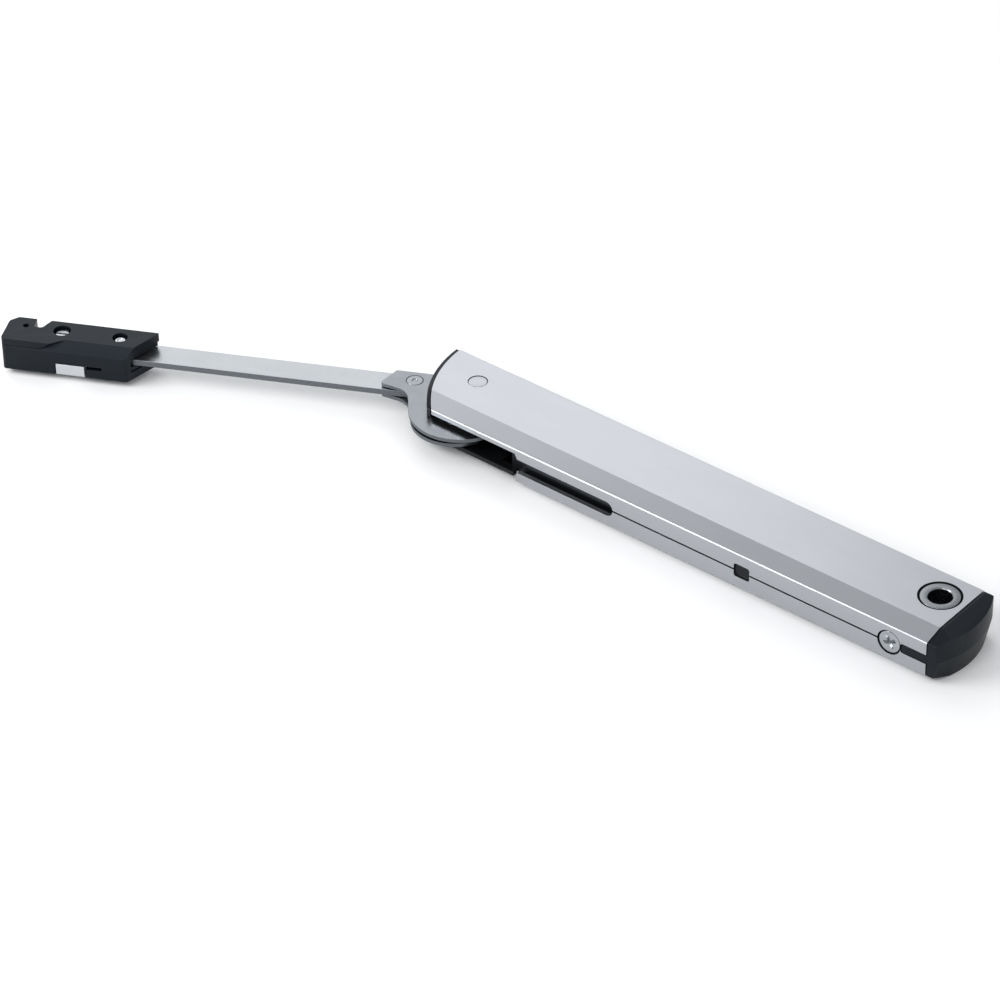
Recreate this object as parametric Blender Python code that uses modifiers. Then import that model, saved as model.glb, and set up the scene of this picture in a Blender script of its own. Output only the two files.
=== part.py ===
"""Slim link-arm door closer, built from its separate pieces.

A flat two-shell body turns on a stud through its steel bush.  At the other end a
double-plate lever turns on a pin, and its pinion drives a rack against a spring and
an oil damper.  A flat bar joins the lever to a hook-on bracket with a release latch.

Frame: millimetres in the values, metres in the model.  The origin is on the lower
shell's flat face, halfway between the bush axis and the lever pin.  +X runs along
the body to the bush, +Z up, and the lever's side opening is on the -Y side.
"""
import math

import bmesh
import bpy
from mathutils import Matrix, Vector

MM = 0.001

# Driving dimensions, in millimetres ------------------------------------------------
# body
BUSH_TO_PIN = 170.0       # bush axis to lever pin axis
BODY_HEIGHT = 15.2
NEAR_SIDE = 18.4          # pin axis to the side that the lever folds into
FAR_SIDE = 9.9            # pin axis to the plain side
FACET_WIDTH = 6.4         # shallow facet along the near edges
FACET_DROP = 1.7
EDGE_ROUND = 0.7
TOP_WALL = 1.6
SIDE_WALL = 1.5
PARTING_GAP = 0.6
BUSH_TO_END = 8.3         # bush axis to the end-cap joint
END_ARC = 42.0            # plan radius of the open end
END_ARC_X = 27.0          # its centre, from the pin axis
END_ARC_Y = 11.0
# bush and pin
BUSH_RADIUS = 5.9
BUSH_BORE = 3.6
BUSH_FLANGE = 8.0
BUSH_CHAMFER = 0.4
SEAL_WALL = 0.4
SEAL_SINK = 0.5           # seals' faces below those of the shells
PIN_RADIUS = 3.0
PIN_CHAMFER = 0.3
# lever
LEVER_REACH_X = -20.1     # lever rivet from the pin axis, at rest
LEVER_REACH_Y = -6.0
LEVER_PLATE = 1.2
UPPER_ELBOW = (0.5, -8.4, 16.2)   # round elbow of the upper plate: x, y and radius
LOWER_ELBOW = (-1.5, -9.0, 13.8)  # the lower plate's is smaller
LEVER_NOTCH = (-18.2, -11.4)      # where its line meets that of the near edge
LEVER_NOTCH_ROUND = 7.0
LEVER_HUB = 7.9
RIVET_RADIUS = 1.5
RIVET_LIP = 1.1           # lever rivet's head beyond its shank
RIVET_RISE = 0.05         # of a head over the face that it is sunk into
RIVET_SINK = 0.5
SPACER_RADIUS = 2.0
SPACER_NECK = 1.4
SPACER_X = 3.0            # spacer from the pin axis
SPACER_Y = -15.5
LEVER_TIP = 6.6           # lever rivet to the far corner, along the bar
LEVER_TIP_FAR = 4.3       # and off the bar's centre line
LEVER_TIP_WIDTH = 8.2
# link bar
BAR_LENGTH = 93.3         # rivet to rivet
BAR_WIDTH = 9.0
BAR_THICK = 2.0
BAR_ANGLE = 206.8         # degrees from +X, at rest
# drive
GEAR_MODULE = 0.8
PINION_TEETH = 14
RACK_TEETH = 7
TOOTH_TIP = 0.75          # height over the pitch line, in modules
TOOTH_ROOT = 1.1          # depth under it
TOOTH_BACKLASH = 0.16
RACK_BACK = 1.65
CROSSHEAD_START = 32.0    # pin axis to the crosshead
CROSSHEAD_LENGTH = 7.0
RACK_GRIP = 5.0           # length of the rack inside the crosshead
RACK_PIN = 0.6
# spring and damper
SPRING_COIL = 3.9         # mean radius
SPRING_WIRE = 0.6
SPRING_TURNS = 12
SPRING_LENGTH = 65.0
SPRING_PLAY = 0.2         # spring to the clearance line of the far wall
SPRING_TO_DAMPER = 2.7
SEAT_LENGTH = 5.0
SEAT_REACH = 5.0          # spring axis to the seat's near face
GUIDE_RADIUS = 2.2
GUIDE_LENGTH = 54.0
DAMPER_RADIUS = 5.2
DAMPER_WALL = 0.9
DAMPER_LENGTH = 68.0
DAMPER_OFFSET = 38.0      # crosshead to the damper's mouth
ROD_RADIUS = 1.25
ROD_LENGTH = 79.0
PISTON_LENGTH = 5.0
GLAND_LENGTH = 4.5
BLOCK_REACH = 4.0         # damper axis to the near faces of crosshead and anchor
ANCHOR_LENGTH = 9.0
PLUG_DEPTH = 5.0
PLUG_NECK = 2.0
PLUG_NECK_LENGTH = 6.0    # in the anchor block
# side features of the shells
LEVER_WINDOW = 29.3       # pin axis to the tall opening's end
LEVER_WINDOW_HALF = 4.3   # half its height
LEVER_CUT = 3.5           # how far the lower shell draws back under the lever
SLOT_END = 66.3           # pin axis to the bar slot's end
SLOT_HALF = 2.5
SLOT_DEPTH = 1.3          # shell's inner face to the wall behind the slot
CLIP_FROM_BUSH = 56.4     # bush axis to the clip window's centre
CLIP_WIDTH = 5.6
CLIP_HEIGHT = 4.6
CLIP_SINK = 0.6           # its face below the side's
CLIP_BASE_LENGTH = 12.0
CLIP_BASE_HEIGHT = 8.0
SCREW_FROM_BUSH = 4.4
SCREW_HOLE = 4.05
SCREW_HEAD = 3.5
SCREW_RADIUS = 2.0
SCREW_CROSS = 4.4         # span of the head's cross recess
SCREW_CROSS_SLOT = 1.15
SCREW_CROSS_TURN = 28.0
SCREW_CROSS_DEPTH = 1.4
SCREW_SINK = 0.3          # its face below the side's
INSERT_WALL = 1.1
TONGUE_HEIGHT = 2.6
CAP_THICK = 3.0
CAP_BULGE = 3.6
CAP_ARM = 20.0
CAP_TAPER = 1.5           # how far the cap's lower edge draws back
CAP_SLOPE = 0.13          # fall of its top face, per millimetre outwards
# liners
LINER_LIP = 1.3           # how far the black rim stands out of the open end
LINER_LENGTH = 22.0       # pin axis to the liners' inner end
SKIRT_LOW = 3.2           # underside of the lower liner's near edge
SKIRT_START = 2.0         # pin axis to the skirt, towards the open end
# bracket, in its own frame: u away from the bar, v to the near side
BRACKET_HEIGHT = 11.2
BRACKET_NEAR = 7.7
BRACKET_FAR = 4.6
BRACKET_TAIL = 36.2       # rivet to the hook's end
MOUTH_FAR = 11.4          # rivet to the mouth's far tip
MOUTH_NEAR = 3.8
FLANGE = 2.7
CAVITY_SIDE = 1.7         # wall beside the bar's end
PAD_SIDE = 2.2            # near side to the pads
HOOK_SLOT = 23.2
HOOK_SLOT_WIDTH = 4.8
HOOK_SLOT_DEPTH = 4.2
BRACKET_CHAMFER = 3.0
SCREW_PLACE = 18.6
SET_SCREW = 2.1
SET_SCREW_DEPTH = 1.1     # its face below the bracket's top
SET_SCREW_SLOT = 0.7
SCREW_WELL = 2.75
BRACKET_RIVET_LIP = 0.25  # bracket rivet's head beyond its shank
HOOK_HOLE = 1.0
HOOK_HOLE_BACK = 5.8      # hook's end to the hole
TAIL_CUT = 2.4            # corner cut off the hook's far end
LATCH_START = 9.8
LATCH_END = 19.0
LATCH_HEIGHT = 3.9
LATCH_SHEET = 1.0
LATCH_INSET = 1.4         # bracket centre line to the latch's foot
LATCH_SLIT = 5.6          # slit beside the latch
LATCH_SLIT_HEIGHT = 1.1
LATCH_COIL = 1.1          # mean radius of the latch spring
LATCH_WIRE = 0.22
PAD_GAP = 0.2
RIVET_RECESS = 1.5        # depth of the recess over a bracket rivet's head
# clearances
GAP = 0.3                 # between pieces that lie face to face
LINER_GAP = 0.4           # between a lever plate and the liner beside it
RUNNING = 0.08            # radial, between a pin and what turns on it
PRESS = 0.1               # radial, between a fixed pin and its hole

# Values worked out from them --------------------------------------------------------
BUSH_X = BUSH_TO_PIN / 2
PIN_X = -BUSH_TO_PIN / 2
MID_Z = BODY_HEIGHT / 2
END_X = BUSH_X + BUSH_TO_END
INNER_NEAR = NEAR_SIDE - SIDE_WALL
INNER_FAR = FAR_SIDE - SIDE_WALL
FLOOR_Z = TOP_WALL + GAP
CEILING_Z = BODY_HEIGHT - TOP_WALL - GAP
GUT_LOW = FLOOR_Z + GAP
GUT_HIGH = CEILING_Z - GAP
BAR_LOW = MID_Z - BAR_THICK / 2
BAR_HIGH = MID_Z + BAR_THICK / 2
LEVER_LOW = BAR_LOW - GAP - LEVER_PLATE
LEVER_HIGH = BAR_HIGH + GAP + LEVER_PLATE
RIVET_HEAD = RIVET_RADIUS + RIVET_LIP
BRACKET_RIVET_HEAD = RIVET_RADIUS + BRACKET_RIVET_LIP
RECESS_RADIUS = RIVET_HEAD - 0.2   # recess over a bracket rivet's head
PITCH_RADIUS = GEAR_MODULE * PINION_TEETH / 2
CROSSHEAD_X = PIN_X + CROSSHEAD_START
SPRING_X = CROSSHEAD_X + CROSSHEAD_LENGTH + GAP
SEAT_X = SPRING_X + SPRING_LENGTH + GAP
SPRING_Y = INNER_FAR - GAP - SPRING_COIL - SPRING_WIRE - SPRING_PLAY
DAMPER_Y = SPRING_Y - SPRING_COIL - SPRING_WIRE - DAMPER_RADIUS - SPRING_TO_DAMPER
DAMPER_X = CROSSHEAD_X + CROSSHEAD_LENGTH + DAMPER_OFFSET
DAMPER_END = DAMPER_X + DAMPER_LENGTH
ANCHOR_X = DAMPER_END + GAP
RACK_ROOT = PITCH_RADIUS + TOOTH_ROOT * GEAR_MODULE
RACK_OUTER = RACK_ROOT + RACK_BACK
ARM_HIGH = BODY_HEIGHT - FACET_DROP - TOP_WALL - GAP
DAMPER_BORE = DAMPER_RADIUS - DAMPER_WALL
SCREW_X = BUSH_X - SCREW_FROM_BUSH
CLIP_X = BUSH_X - CLIP_FROM_BUSH
LEVER_RIVET = (PIN_X + LEVER_REACH_X, LEVER_REACH_Y)
BAR_TURN = math.radians(BAR_ANGLE)
BRACKET_RIVET = (LEVER_RIVET[0] + BAR_LENGTH * math.cos(BAR_TURN),
                 LEVER_RIVET[1] + BAR_LENGTH * math.sin(BAR_TURN))
BRACKET_LOW = MID_Z - BRACKET_HEIGHT / 2
BRACKET_HIGH = MID_Z + BRACKET_HEIGHT / 2
CAVITY_LOW = BRACKET_LOW + FLANGE
CAVITY_HIGH = BRACKET_HIGH - FLANGE
POCKET_FAR = -BRACKET_FAR + 1.4
POCKET_TOP = BRACKET_LOW + LATCH_HEIGHT + GAP
ROUND = 32                # sides of a small round piece
FINE_ROUND = 40           # sides of the bush
SMALL_ROUND = 24


# Tools ------------------------------------------------------------------------------
def clear_scene():
    """Remove what the file holds, so that a second run starts clean."""
    for old in list(bpy.data.objects):
        bpy.data.objects.remove(old, do_unlink=True)
    for old in list(bpy.data.collections):
        bpy.data.collections.remove(old)


def new_collection(name):
    collection = bpy.data.collections.new(name)
    bpy.context.scene.collection.children.link(collection)
    return collection


def new_frame(name, place, turn=0.0):
    """An empty on a joint's axis; the pieces of that body hang on it."""
    frame = bpy.data.objects.new(name, None)
    frame.location = (place[0] * MM, place[1] * MM, 0.0)
    frame.rotation_euler = (0.0, 0.0, turn)
    frame.empty_display_size = 0.01
    PARTS.objects.link(frame)
    return frame


def finish(name, graph):
    """Scale a bmesh from millimetres, and make it an object with its faces outward."""
    bmesh.ops.scale(graph, vec=(MM, MM, MM), verts=graph.verts)
    bmesh.ops.remove_doubles(graph, verts=graph.verts, dist=1e-7)
    bmesh.ops.recalc_face_normals(graph, faces=graph.faces)
    mesh = bpy.data.meshes.new(name)
    graph.to_mesh(mesh)
    graph.free()
    return bpy.data.objects.new(name, mesh)


def lie_along(graph, axis):
    """Turn a shape that was made along Z so that it lies along the given axis.

    Y is a mirror as well, so that heights along Z keep their sign along Y."""
    if axis == "X":
        turn = Matrix(((0, 0, 1), (1, 0, 0), (0, 1, 0)))
    elif axis == "Y":
        turn = Matrix(((1, 0, 0), (0, 0, 1), (0, 1, 0)))
    else:
        turn = Matrix.Identity(3)
    bmesh.ops.transform(graph, matrix=turn.to_4x4(), verts=graph.verts)


def box(name, low, high):
    graph = bmesh.new()
    bmesh.ops.create_cube(graph, size=1.0)
    size = [top - bottom for bottom, top in zip(low, high)]
    middle = [(top + bottom) / 2 for bottom, top in zip(low, high)]
    bmesh.ops.scale(graph, vec=size, verts=graph.verts)
    bmesh.ops.translate(graph, vec=middle, verts=graph.verts)
    return finish(name, graph)


def move_to(graph, axis, centre):
    """Place a shape that lies along an axis; centre holds its other two coordinates."""
    shift = {"X": (0, *centre), "Y": (centre[0], 0, centre[1]), "Z": (*centre, 0)}[axis]
    bmesh.ops.translate(graph, vec=shift, verts=graph.verts)


def cone(name, axis, centre, low, high, radius_low, radius_high, sides=ROUND):
    """A round bar or cone.  centre is its axis in the other two coordinates."""
    graph = bmesh.new()
    bmesh.ops.create_cone(graph, cap_ends=True, segments=sides, radius1=radius_low,
                          radius2=radius_high, depth=high - low)
    bmesh.ops.translate(graph, vec=(0, 0, (low + high) / 2), verts=graph.verts)
    lie_along(graph, axis)
    move_to(graph, axis, centre)
    return finish(name, graph)


def cylinder(name, axis, centre, low, high, radius, sides=ROUND):
    return cone(name, axis, centre, low, high, radius, radius, sides)


def turned(name, profile, axis="Z", centre=(0.0, 0.0), steps=ROUND):
    """Spin a closed profile of (radius, height) points with a Screw modifier."""
    mesh = bpy.data.meshes.new(name + "_profile")
    edges = [(i, (i + 1) % len(profile)) for i in range(len(profile))]
    points = [(radius, 0.0, height) for radius, height in profile]
    if min(radius for radius, height in profile) == 0:
        edges = edges[:-1]
    mesh.from_pydata(points, edges, [])
    guide = bpy.data.objects.new(name + "_profile", mesh)
    CUTTERS.objects.link(guide)
    screw = guide.modifiers.new("spin", "SCREW")
    screw.steps = steps
    screw.render_steps = steps
    screw.use_merge_vertices = True
    screw.merge_threshold = 1e-4
    graph = as_bmesh(guide)
    lie_along(graph, axis)
    move_to(graph, axis, centre)
    return finish(name, graph)


def as_bmesh(source):
    """The evaluated mesh of an object that is no longer needed."""
    bpy.context.view_layer.update()
    graph = bmesh.new()
    evaluated = source.evaluated_get(bpy.context.evaluated_depsgraph_get())
    mesh = bpy.data.meshes.new_from_object(evaluated)
    graph.from_mesh(mesh)
    bpy.data.meshes.remove(mesh)
    bpy.data.objects.remove(source)
    return graph


def rounded(corners, steps=5):
    """An outline from corners (x, y) or (x, y, radius), each radius made an arc."""
    outline = []
    count = len(corners)
    for i, corner in enumerate(corners):
        here = Vector(corner[:2])
        radius = corner[2] if len(corner) == 3 else 0.0
        if radius == 0:
            outline.append(tuple(here))
            continue
        back = Vector(corners[i - 1][:2]) - here
        ahead = Vector(corners[(i + 1) % count][:2]) - here
        half = back.angle(ahead) / 2
        reach = min(radius / math.tan(half), back.length * 0.49, ahead.length * 0.49)
        radius = reach * math.tan(half)
        middle = here + (back.normalized() + ahead.normalized()).normalized() * radius / math.sin(half)
        start = here + back.normalized() * reach - middle
        sweep = start.angle_signed(here + ahead.normalized() * reach - middle)
        for step in range(steps + 1):
            turn = Matrix.Rotation(-sweep * step / steps, 2)
            outline.append(tuple(middle + turn @ start))
    return outline


def arc(centre, radius, start, end, steps):
    """Points of an arc, with its angles in degrees."""
    points = []
    for step in range(steps + 1):
        angle = math.radians(start + (end - start) * step / steps)
        points.append((centre[0] + radius * math.cos(angle), centre[1] + radius * math.sin(angle)))
    return points


def plate(name, outline, low, high, axis="Z"):
    """A flat outline with a thickness, from a filled and extruded 2D curve."""
    curve = bpy.data.curves.new(name + "_outline", "CURVE")
    curve.dimensions = "2D"
    curve.fill_mode = "BOTH"
    curve.extrude = (high - low) / 2
    spline = curve.splines.new("POLY")
    spline.points.add(len(outline) - 1)
    for point, (x, y) in zip(spline.points, outline):
        point.co = (x, y, 0.0, 1.0)
    spline.use_cyclic_u = True
    guide = bpy.data.objects.new(name + "_outline", curve)
    CUTTERS.objects.link(guide)
    graph = as_bmesh(guide)
    lie_along(graph, axis)
    middle = (low + high) / 2
    shift = {"X": (middle, 0, 0), "Y": (0, middle, 0), "Z": (0, 0, middle)}[axis]
    bmesh.ops.translate(graph, vec=shift, verts=graph.verts)
    bmesh.ops.remove_doubles(graph, verts=graph.verts, dist=1e-4)
    return finish(name, graph)


def coil(name, axis, centre, low, high, radius, wire, turns):
    """A compression spring: a helix of round wire."""
    per_turn = 10
    curve = bpy.data.curves.new(name + "_wire", "CURVE")
    curve.dimensions = "3D"
    curve.bevel_depth = wire
    curve.bevel_resolution = 1
    curve.use_fill_caps = True
    spline = curve.splines.new("POLY")
    count = turns * per_turn + 1
    spline.points.add(count - 1)
    for i, point in enumerate(spline.points):
        angle = 2 * math.pi * i / per_turn
        rise = low + wire + (high - low - 2 * wire) * i / (count - 1)
        point.co = (radius * math.cos(angle), radius * math.sin(angle), rise, 1.0)
    guide = bpy.data.objects.new(name + "_wire", curve)
    CUTTERS.objects.link(guide)
    graph = as_bmesh(guide)
    lie_along(graph, axis)
    move_to(graph, axis, centre)
    bmesh.ops.remove_doubles(graph, verts=graph.verts, dist=1e-3)
    return finish(name, graph)


def combine(target, kind, *tools, solver="EXACT"):
    """Cut tools out of a piece, add them to it, or keep only what they share."""
    for tool in tools:
        tool.hide_render = True
        tool.display_type = "WIRE"
        CUTTERS.objects.link(tool)
        change = target.modifiers.new(tool.name, "BOOLEAN")
        change.operation = kind
        change.solver = solver
        change.object = tool


def cutters_of(piece):
    """The cutters of a piece, and those that shape its cutters."""
    tools = [change.object for change in piece.modifiers]
    for tool in list(tools):
        tools += cutters_of(tool)
    return tools


def part(piece, frame, material, smooth=True):
    """Hang a finished piece and its cutters on their frame, and give it its material."""
    PARTS.objects.link(piece)
    piece.parent = frame
    piece.data.materials.append(material)
    for tool in cutters_of(piece):
        tool.parent = frame
    if smooth:
        piece.data.shade_smooth()
        piece.data.set_sharp_from_angle(angle=math.radians(30))


def finish_of(name, colour, roughness, metallic):
    material = bpy.data.materials.new(name)
    material.use_nodes = True
    shader = material.node_tree.nodes["Principled BSDF"]
    shader.inputs["Base Color"].default_value = (*colour, 1.0)
    shader.inputs["Roughness"].default_value = roughness
    shader.inputs["Metallic"].default_value = metallic
    return material


# Body ---------------------------------------------------------------------------------
def section(inset_top, inset_side, seam_z, round_edges):
    """The upper half of the body's cross-section, as (y, z) points."""
    edge = EDGE_ROUND if round_edges else 0.0
    shoulder = -(NEAR_SIDE - FACET_WIDTH)
    return rounded([
        (FAR_SIDE - inset_side, seam_z),
        (FAR_SIDE - inset_side, BODY_HEIGHT - inset_top, edge * 0.7),
        (shoulder, BODY_HEIGHT - inset_top),
        (-NEAR_SIDE + inset_side, BODY_HEIGHT - FACET_DROP - inset_top, edge),
        (-NEAR_SIDE + inset_side, seam_z)], steps=3)


def end_curve(offset, low_y, high_y, steps):
    """The open end's plan arc, from low_y to high_y, moved out by offset."""
    radius = END_ARC + offset
    centre = (PIN_X + END_ARC_X, END_ARC_Y)
    start = 180 + math.degrees(math.asin((END_ARC_Y - low_y) / radius))
    end = 180 + math.degrees(math.asin((END_ARC_Y - high_y) / radius))
    return arc(centre, radius, start, end, steps)


def beyond_end(name):
    """A cutter that takes away all that lies past the open end's arc."""
    outline = end_curve(0.0, -NEAR_SIDE - 3, FAR_SIDE + 1, 20)
    left = PIN_X - END_ARC
    outline += [(outline[-1][0], FAR_SIDE + 8), (left, FAR_SIDE + 8), (left, -NEAR_SIDE - 8),
                (outline[0][0], -NEAR_SIDE - 8)]
    return plate(name, outline, -5, BODY_HEIGHT + 5)


def side_openings(name, drop):
    """Cutter for the near wall: the lever's opening, down to drop, then the bar's slot."""
    step = LEVER_WINDOW_HALF - SLOT_HALF
    outline = rounded([
        (PIN_X - END_ARC, -drop), (PIN_X + LEVER_WINDOW, -drop, 0.3),
        (PIN_X + LEVER_WINDOW + 0.8, -SLOT_HALF, 0.3),
        (PIN_X + SLOT_END, -SLOT_HALF, SLOT_HALF), (PIN_X + SLOT_END, SLOT_HALF, SLOT_HALF),
        (PIN_X + LEVER_WINDOW + step * 0.5, SLOT_HALF, 0.3),
        (PIN_X + LEVER_WINDOW, LEVER_WINDOW_HALF, 0.3), (PIN_X - END_ARC, LEVER_WINDOW_HALF)])
    outline = [(x, z + MID_Z) for x, z in outline]
    return plate(name, outline, -NEAR_SIDE - 2, -INNER_NEAR + 0.6, "Y")


def clip_window(grow):
    """Outline of the small side window, or of the clip that fills it."""
    half_width = CLIP_WIDTH / 2 + grow
    half_height = CLIP_HEIGHT / 2 + grow
    return rounded([(CLIP_X - half_width, MID_Z - half_height, 0.8),
                    (CLIP_X + half_width, MID_Z - half_height, 0.8),
                    (CLIP_X + half_width, MID_Z + half_height, 0.8),
                    (CLIP_X - half_width, MID_Z + half_height, 0.8)])


def tongue_outline(grow):
    """Outline of the cap's tongue beside the screw, or of the notch for it."""
    half = TONGUE_HEIGHT / 2 + grow
    return rounded([(BUSH_X - 0.2 - grow, MID_Z - half, 0.8), (END_X + 1, MID_Z - half),
                    (END_X + 1, MID_Z + half), (BUSH_X - 0.2 - grow, MID_Z + half, 0.8)])


def shell(name, lever_drop):
    """One half of the body, a channel with both ends open, and the cutters for it."""
    left = PIN_X - END_ARC
    seam = MID_Z + PARTING_GAP / 2
    body = plate(name, section(0, 0, seam, True), left, END_X, "X")
    hollow = plate(name + "_hollow", section(TOP_WALL, SIDE_WALL, seam - 2, False),
                   left - 2, END_X + 2, "X")
    tools = [hollow, beyond_end(name + "_open_end")]
    if lever_drop > LEVER_WINDOW_HALF:
        tools.append(box(name + "_lever_clearance", (left, -NEAR_SIDE - 2, MID_Z),
                         (PIN_X + LEVER_WINDOW, -NEAR_SIDE + LEVER_CUT, BODY_HEIGHT + 2)))
    tools += [
        side_openings(name + "_side_opening", lever_drop),
        plate(name + "_clip_window", clip_window(0.0), -NEAR_SIDE - 2, -INNER_NEAR + 1, "Y"),
        plate(name + "_tongue_slot", tongue_outline(GAP), -NEAR_SIDE - 2, -INNER_NEAR + 1, "Y"),
        cylinder(name + "_bush_hole", "Z", (BUSH_X, 0), -3, BODY_HEIGHT + 3,
                 BUSH_RADIUS + SEAL_WALL + 2 * PRESS + 0.1, FINE_ROUND),
        cylinder(name + "_pin_hole", "Z", (PIN_X, 0), -3, BODY_HEIGHT + 3, PIN_RADIUS + PRESS),
        cylinder(name + "_screw_hole", "Y", (SCREW_X, MID_Z), -NEAR_SIDE - 2, -INNER_NEAR + 1,
                 SCREW_HOLE)]
    return body, tools


def mirrored_low(piece):
    """Turn an upper-half shape into the lower half, about the middle plane."""
    graph = bmesh.new()
    graph.from_mesh(piece.data)
    bmesh.ops.scale(graph, vec=(1, 1, -1), verts=graph.verts)
    bmesh.ops.translate(graph, vec=(0, 0, BODY_HEIGHT * MM), verts=graph.verts)
    bmesh.ops.recalc_face_normals(graph, faces=graph.faces)
    graph.to_mesh(piece.data)
    graph.free()


def make_shells(frame, material):
    """The lower half has no side wall under the lever, so its opening drops further."""
    to_facet = MID_Z - FACET_DROP - 0.25
    for name, lever_drop in (("upper_shell", LEVER_WINDOW_HALF), ("lower_shell", to_facet)):
        piece, tools = shell(name, lever_drop)
        if name == "lower_shell":
            for solid in (piece, tools[0], tools[2]):
                mirrored_low(solid)
        combine(piece, "DIFFERENCE", *tools)
        part(piece, frame, material)


def make_liners(frame, material):
    """Black liners over and under the lever, each with a rim round the open end.

    The lower one also fills the wall that its shell leaves open, and backs the slot."""
    near = -NEAR_SIDE + 0.2
    far = INNER_FAR - GAP
    low = LEVER_HIGH + LINER_GAP
    inner = PIN_X + LINER_LENGTH
    for name, upper in (("upper_liner", True), ("lower_liner", False)):
        outline = end_curve(LINER_LIP, -INNER_NEAR + GAP, far, 16)
        outline += [(inner, far), (inner, -INNER_NEAR + GAP)]
        bed = plate(name, outline, low, BODY_HEIGHT)
        under_roof = plate(name + "_under_roof", section(TOP_WALL + GAP, SIDE_WALL + GAP, 0, False),
                           PIN_X - END_ARC, END_X, "X")
        rim = end_curve(LINER_LIP, near, FAR_SIDE, 16) + end_curve(GAP, FAR_SIDE, near, 16)
        lip = plate(name + "_rim", rim, low, BODY_HEIGHT)
        rim_top = plate(name + "_rim_top", section(GAP, 0.1, 0, True), PIN_X - END_ARC, END_X, "X")
        tools = [lip]
        if not upper:
            skirt = box(name + "_skirt", (PIN_X - SKIRT_START, near, low),
                        (PIN_X + LEVER_WINDOW - 0.8, -INNER_NEAR + GAP, BODY_HEIGHT - SKIRT_LOW))
            flange = box(name + "_flange", (PIN_X - SKIRT_START, near + 0.2, low + 0.1),
                         (PIN_X + LEVER_WINDOW - 1.0, -INNER_NEAR + 1.5, ARM_HIGH - 0.1))
            wall = box(name + "_slot_wall",
                       (PIN_X + LINER_LENGTH + 4, -INNER_NEAR + SLOT_DEPTH, BODY_HEIGHT - ARM_HIGH),
                       (PIN_X + SLOT_END + 3, -INNER_NEAR + SLOT_DEPTH + 1.0, ARM_HIGH))
            tools += [skirt, flange, wall]
        hole = cylinder(name + "_pin_hole", "Z", (PIN_X, 0), -3, BODY_HEIGHT + 3,
                        PIN_RADIUS + 2 * PRESS)
        if not upper:
            for piece in (bed, under_roof, rim_top, *tools):
                mirrored_low(piece)
        combine(lip, "INTERSECT", rim_top)
        combine(bed, "INTERSECT", under_roof)
        combine(bed, "UNION", *tools)
        combine(bed, "DIFFERENCE", hole)
        part(bed, frame, material)


def make_end_cap(frame, material):
    """The moulded cap: a bulged plate, an arm beside the bush and a tongue in the seam."""
    start = END_X + GAP
    upper = section(0.1, 0.1, MID_Z, True)
    lower = [(y, BODY_HEIGHT - z) for y, z in reversed(upper[1:-1])]
    cap = plate("end_cap", upper + lower, start, start + CAP_THICK + CAP_BULGE + 2, "X")
    half = (NEAR_SIDE + FAR_SIDE) / 2
    plan_radius = (half ** 2 + CAP_BULGE ** 2) / (2 * CAP_BULGE)
    crown = start + CAP_THICK + CAP_BULGE
    beyond = 2
    low_radius = plan_radius - CAP_TAPER * (MID_Z + beyond) / MID_Z
    profile = [(0, -beyond), (low_radius, -beyond), (plan_radius, MID_Z),
               (plan_radius, BODY_HEIGHT + beyond), (0, BODY_HEIGHT + beyond)]
    plan = turned("end_cap_plan_arc", profile, centre=(crown - plan_radius, FAR_SIDE - half),
                  steps=180)
    far = start + 10
    fall = CAP_SLOPE * (far - start)
    slope = plate("end_cap_slope", [(start, BODY_HEIGHT), (far, BODY_HEIGHT - fall),
                                    (far, BODY_HEIGHT + beyond), (start, BODY_HEIGHT + beyond)],
                  -NEAR_SIDE - beyond, FAR_SIDE + beyond, "Y")
    combine(cap, "INTERSECT", plan)
    combine(cap, "DIFFERENCE", slope)
    arm = box("end_cap_arm", (END_X - CAP_ARM, -INNER_NEAR + GAP, BODY_HEIGHT - ARM_HIGH),
              (start + 1, -BUSH_FLANGE - GAP, ARM_HIGH))
    tongue = plate("end_cap_tongue", tongue_outline(0.0), -NEAR_SIDE + 0.1, -INNER_NEAR + 1, "Y")
    combine(cap, "UNION", arm, tongue)
    seat = cone("end_cap_screw_seat", "Y", (SCREW_X, MID_Z), -INNER_NEAR - 1.2, -INNER_NEAR + 1.5,
                SCREW_HEAD + 1.1, SCREW_RADIUS + 0.2)
    bore = cylinder("end_cap_insert_hole", "Y", (SCREW_X, MID_Z), -INNER_NEAR + 1.4,
                    -BUSH_FLANGE + 2, SCREW_RADIUS + PRESS + INSERT_WALL + PRESS)
    neck = cylinder("end_cap_screw_hole", "Y", (SCREW_X, MID_Z), -NEAR_SIDE - 1,
                    -BUSH_FLANGE + 2, SCREW_RADIUS + 0.2)
    combine(cap, "DIFFERENCE", seat, bore, neck)
    part(cap, frame, material)


def make_bush(frame, steel):
    """The steel bush that the body turns on, with a flange held between the shells."""
    low, high = PRESS, BODY_HEIGHT - PRESS
    chamfer = BUSH_CHAMFER
    profile = [
        (BUSH_BORE + chamfer, high), (BUSH_RADIUS - 0.2, high), (BUSH_RADIUS, high - 0.2),
        (BUSH_RADIUS, GUT_HIGH), (BUSH_FLANGE, GUT_HIGH), (BUSH_FLANGE, GUT_LOW),
        (BUSH_RADIUS, GUT_LOW), (BUSH_RADIUS, low + 0.2), (BUSH_RADIUS - 0.2, low),
        (BUSH_BORE + chamfer, low), (BUSH_BORE, low + chamfer), (BUSH_BORE, high - chamfer)]
    part(turned("pivot_bush", profile, steps=FINE_ROUND), frame, steel)


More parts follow.
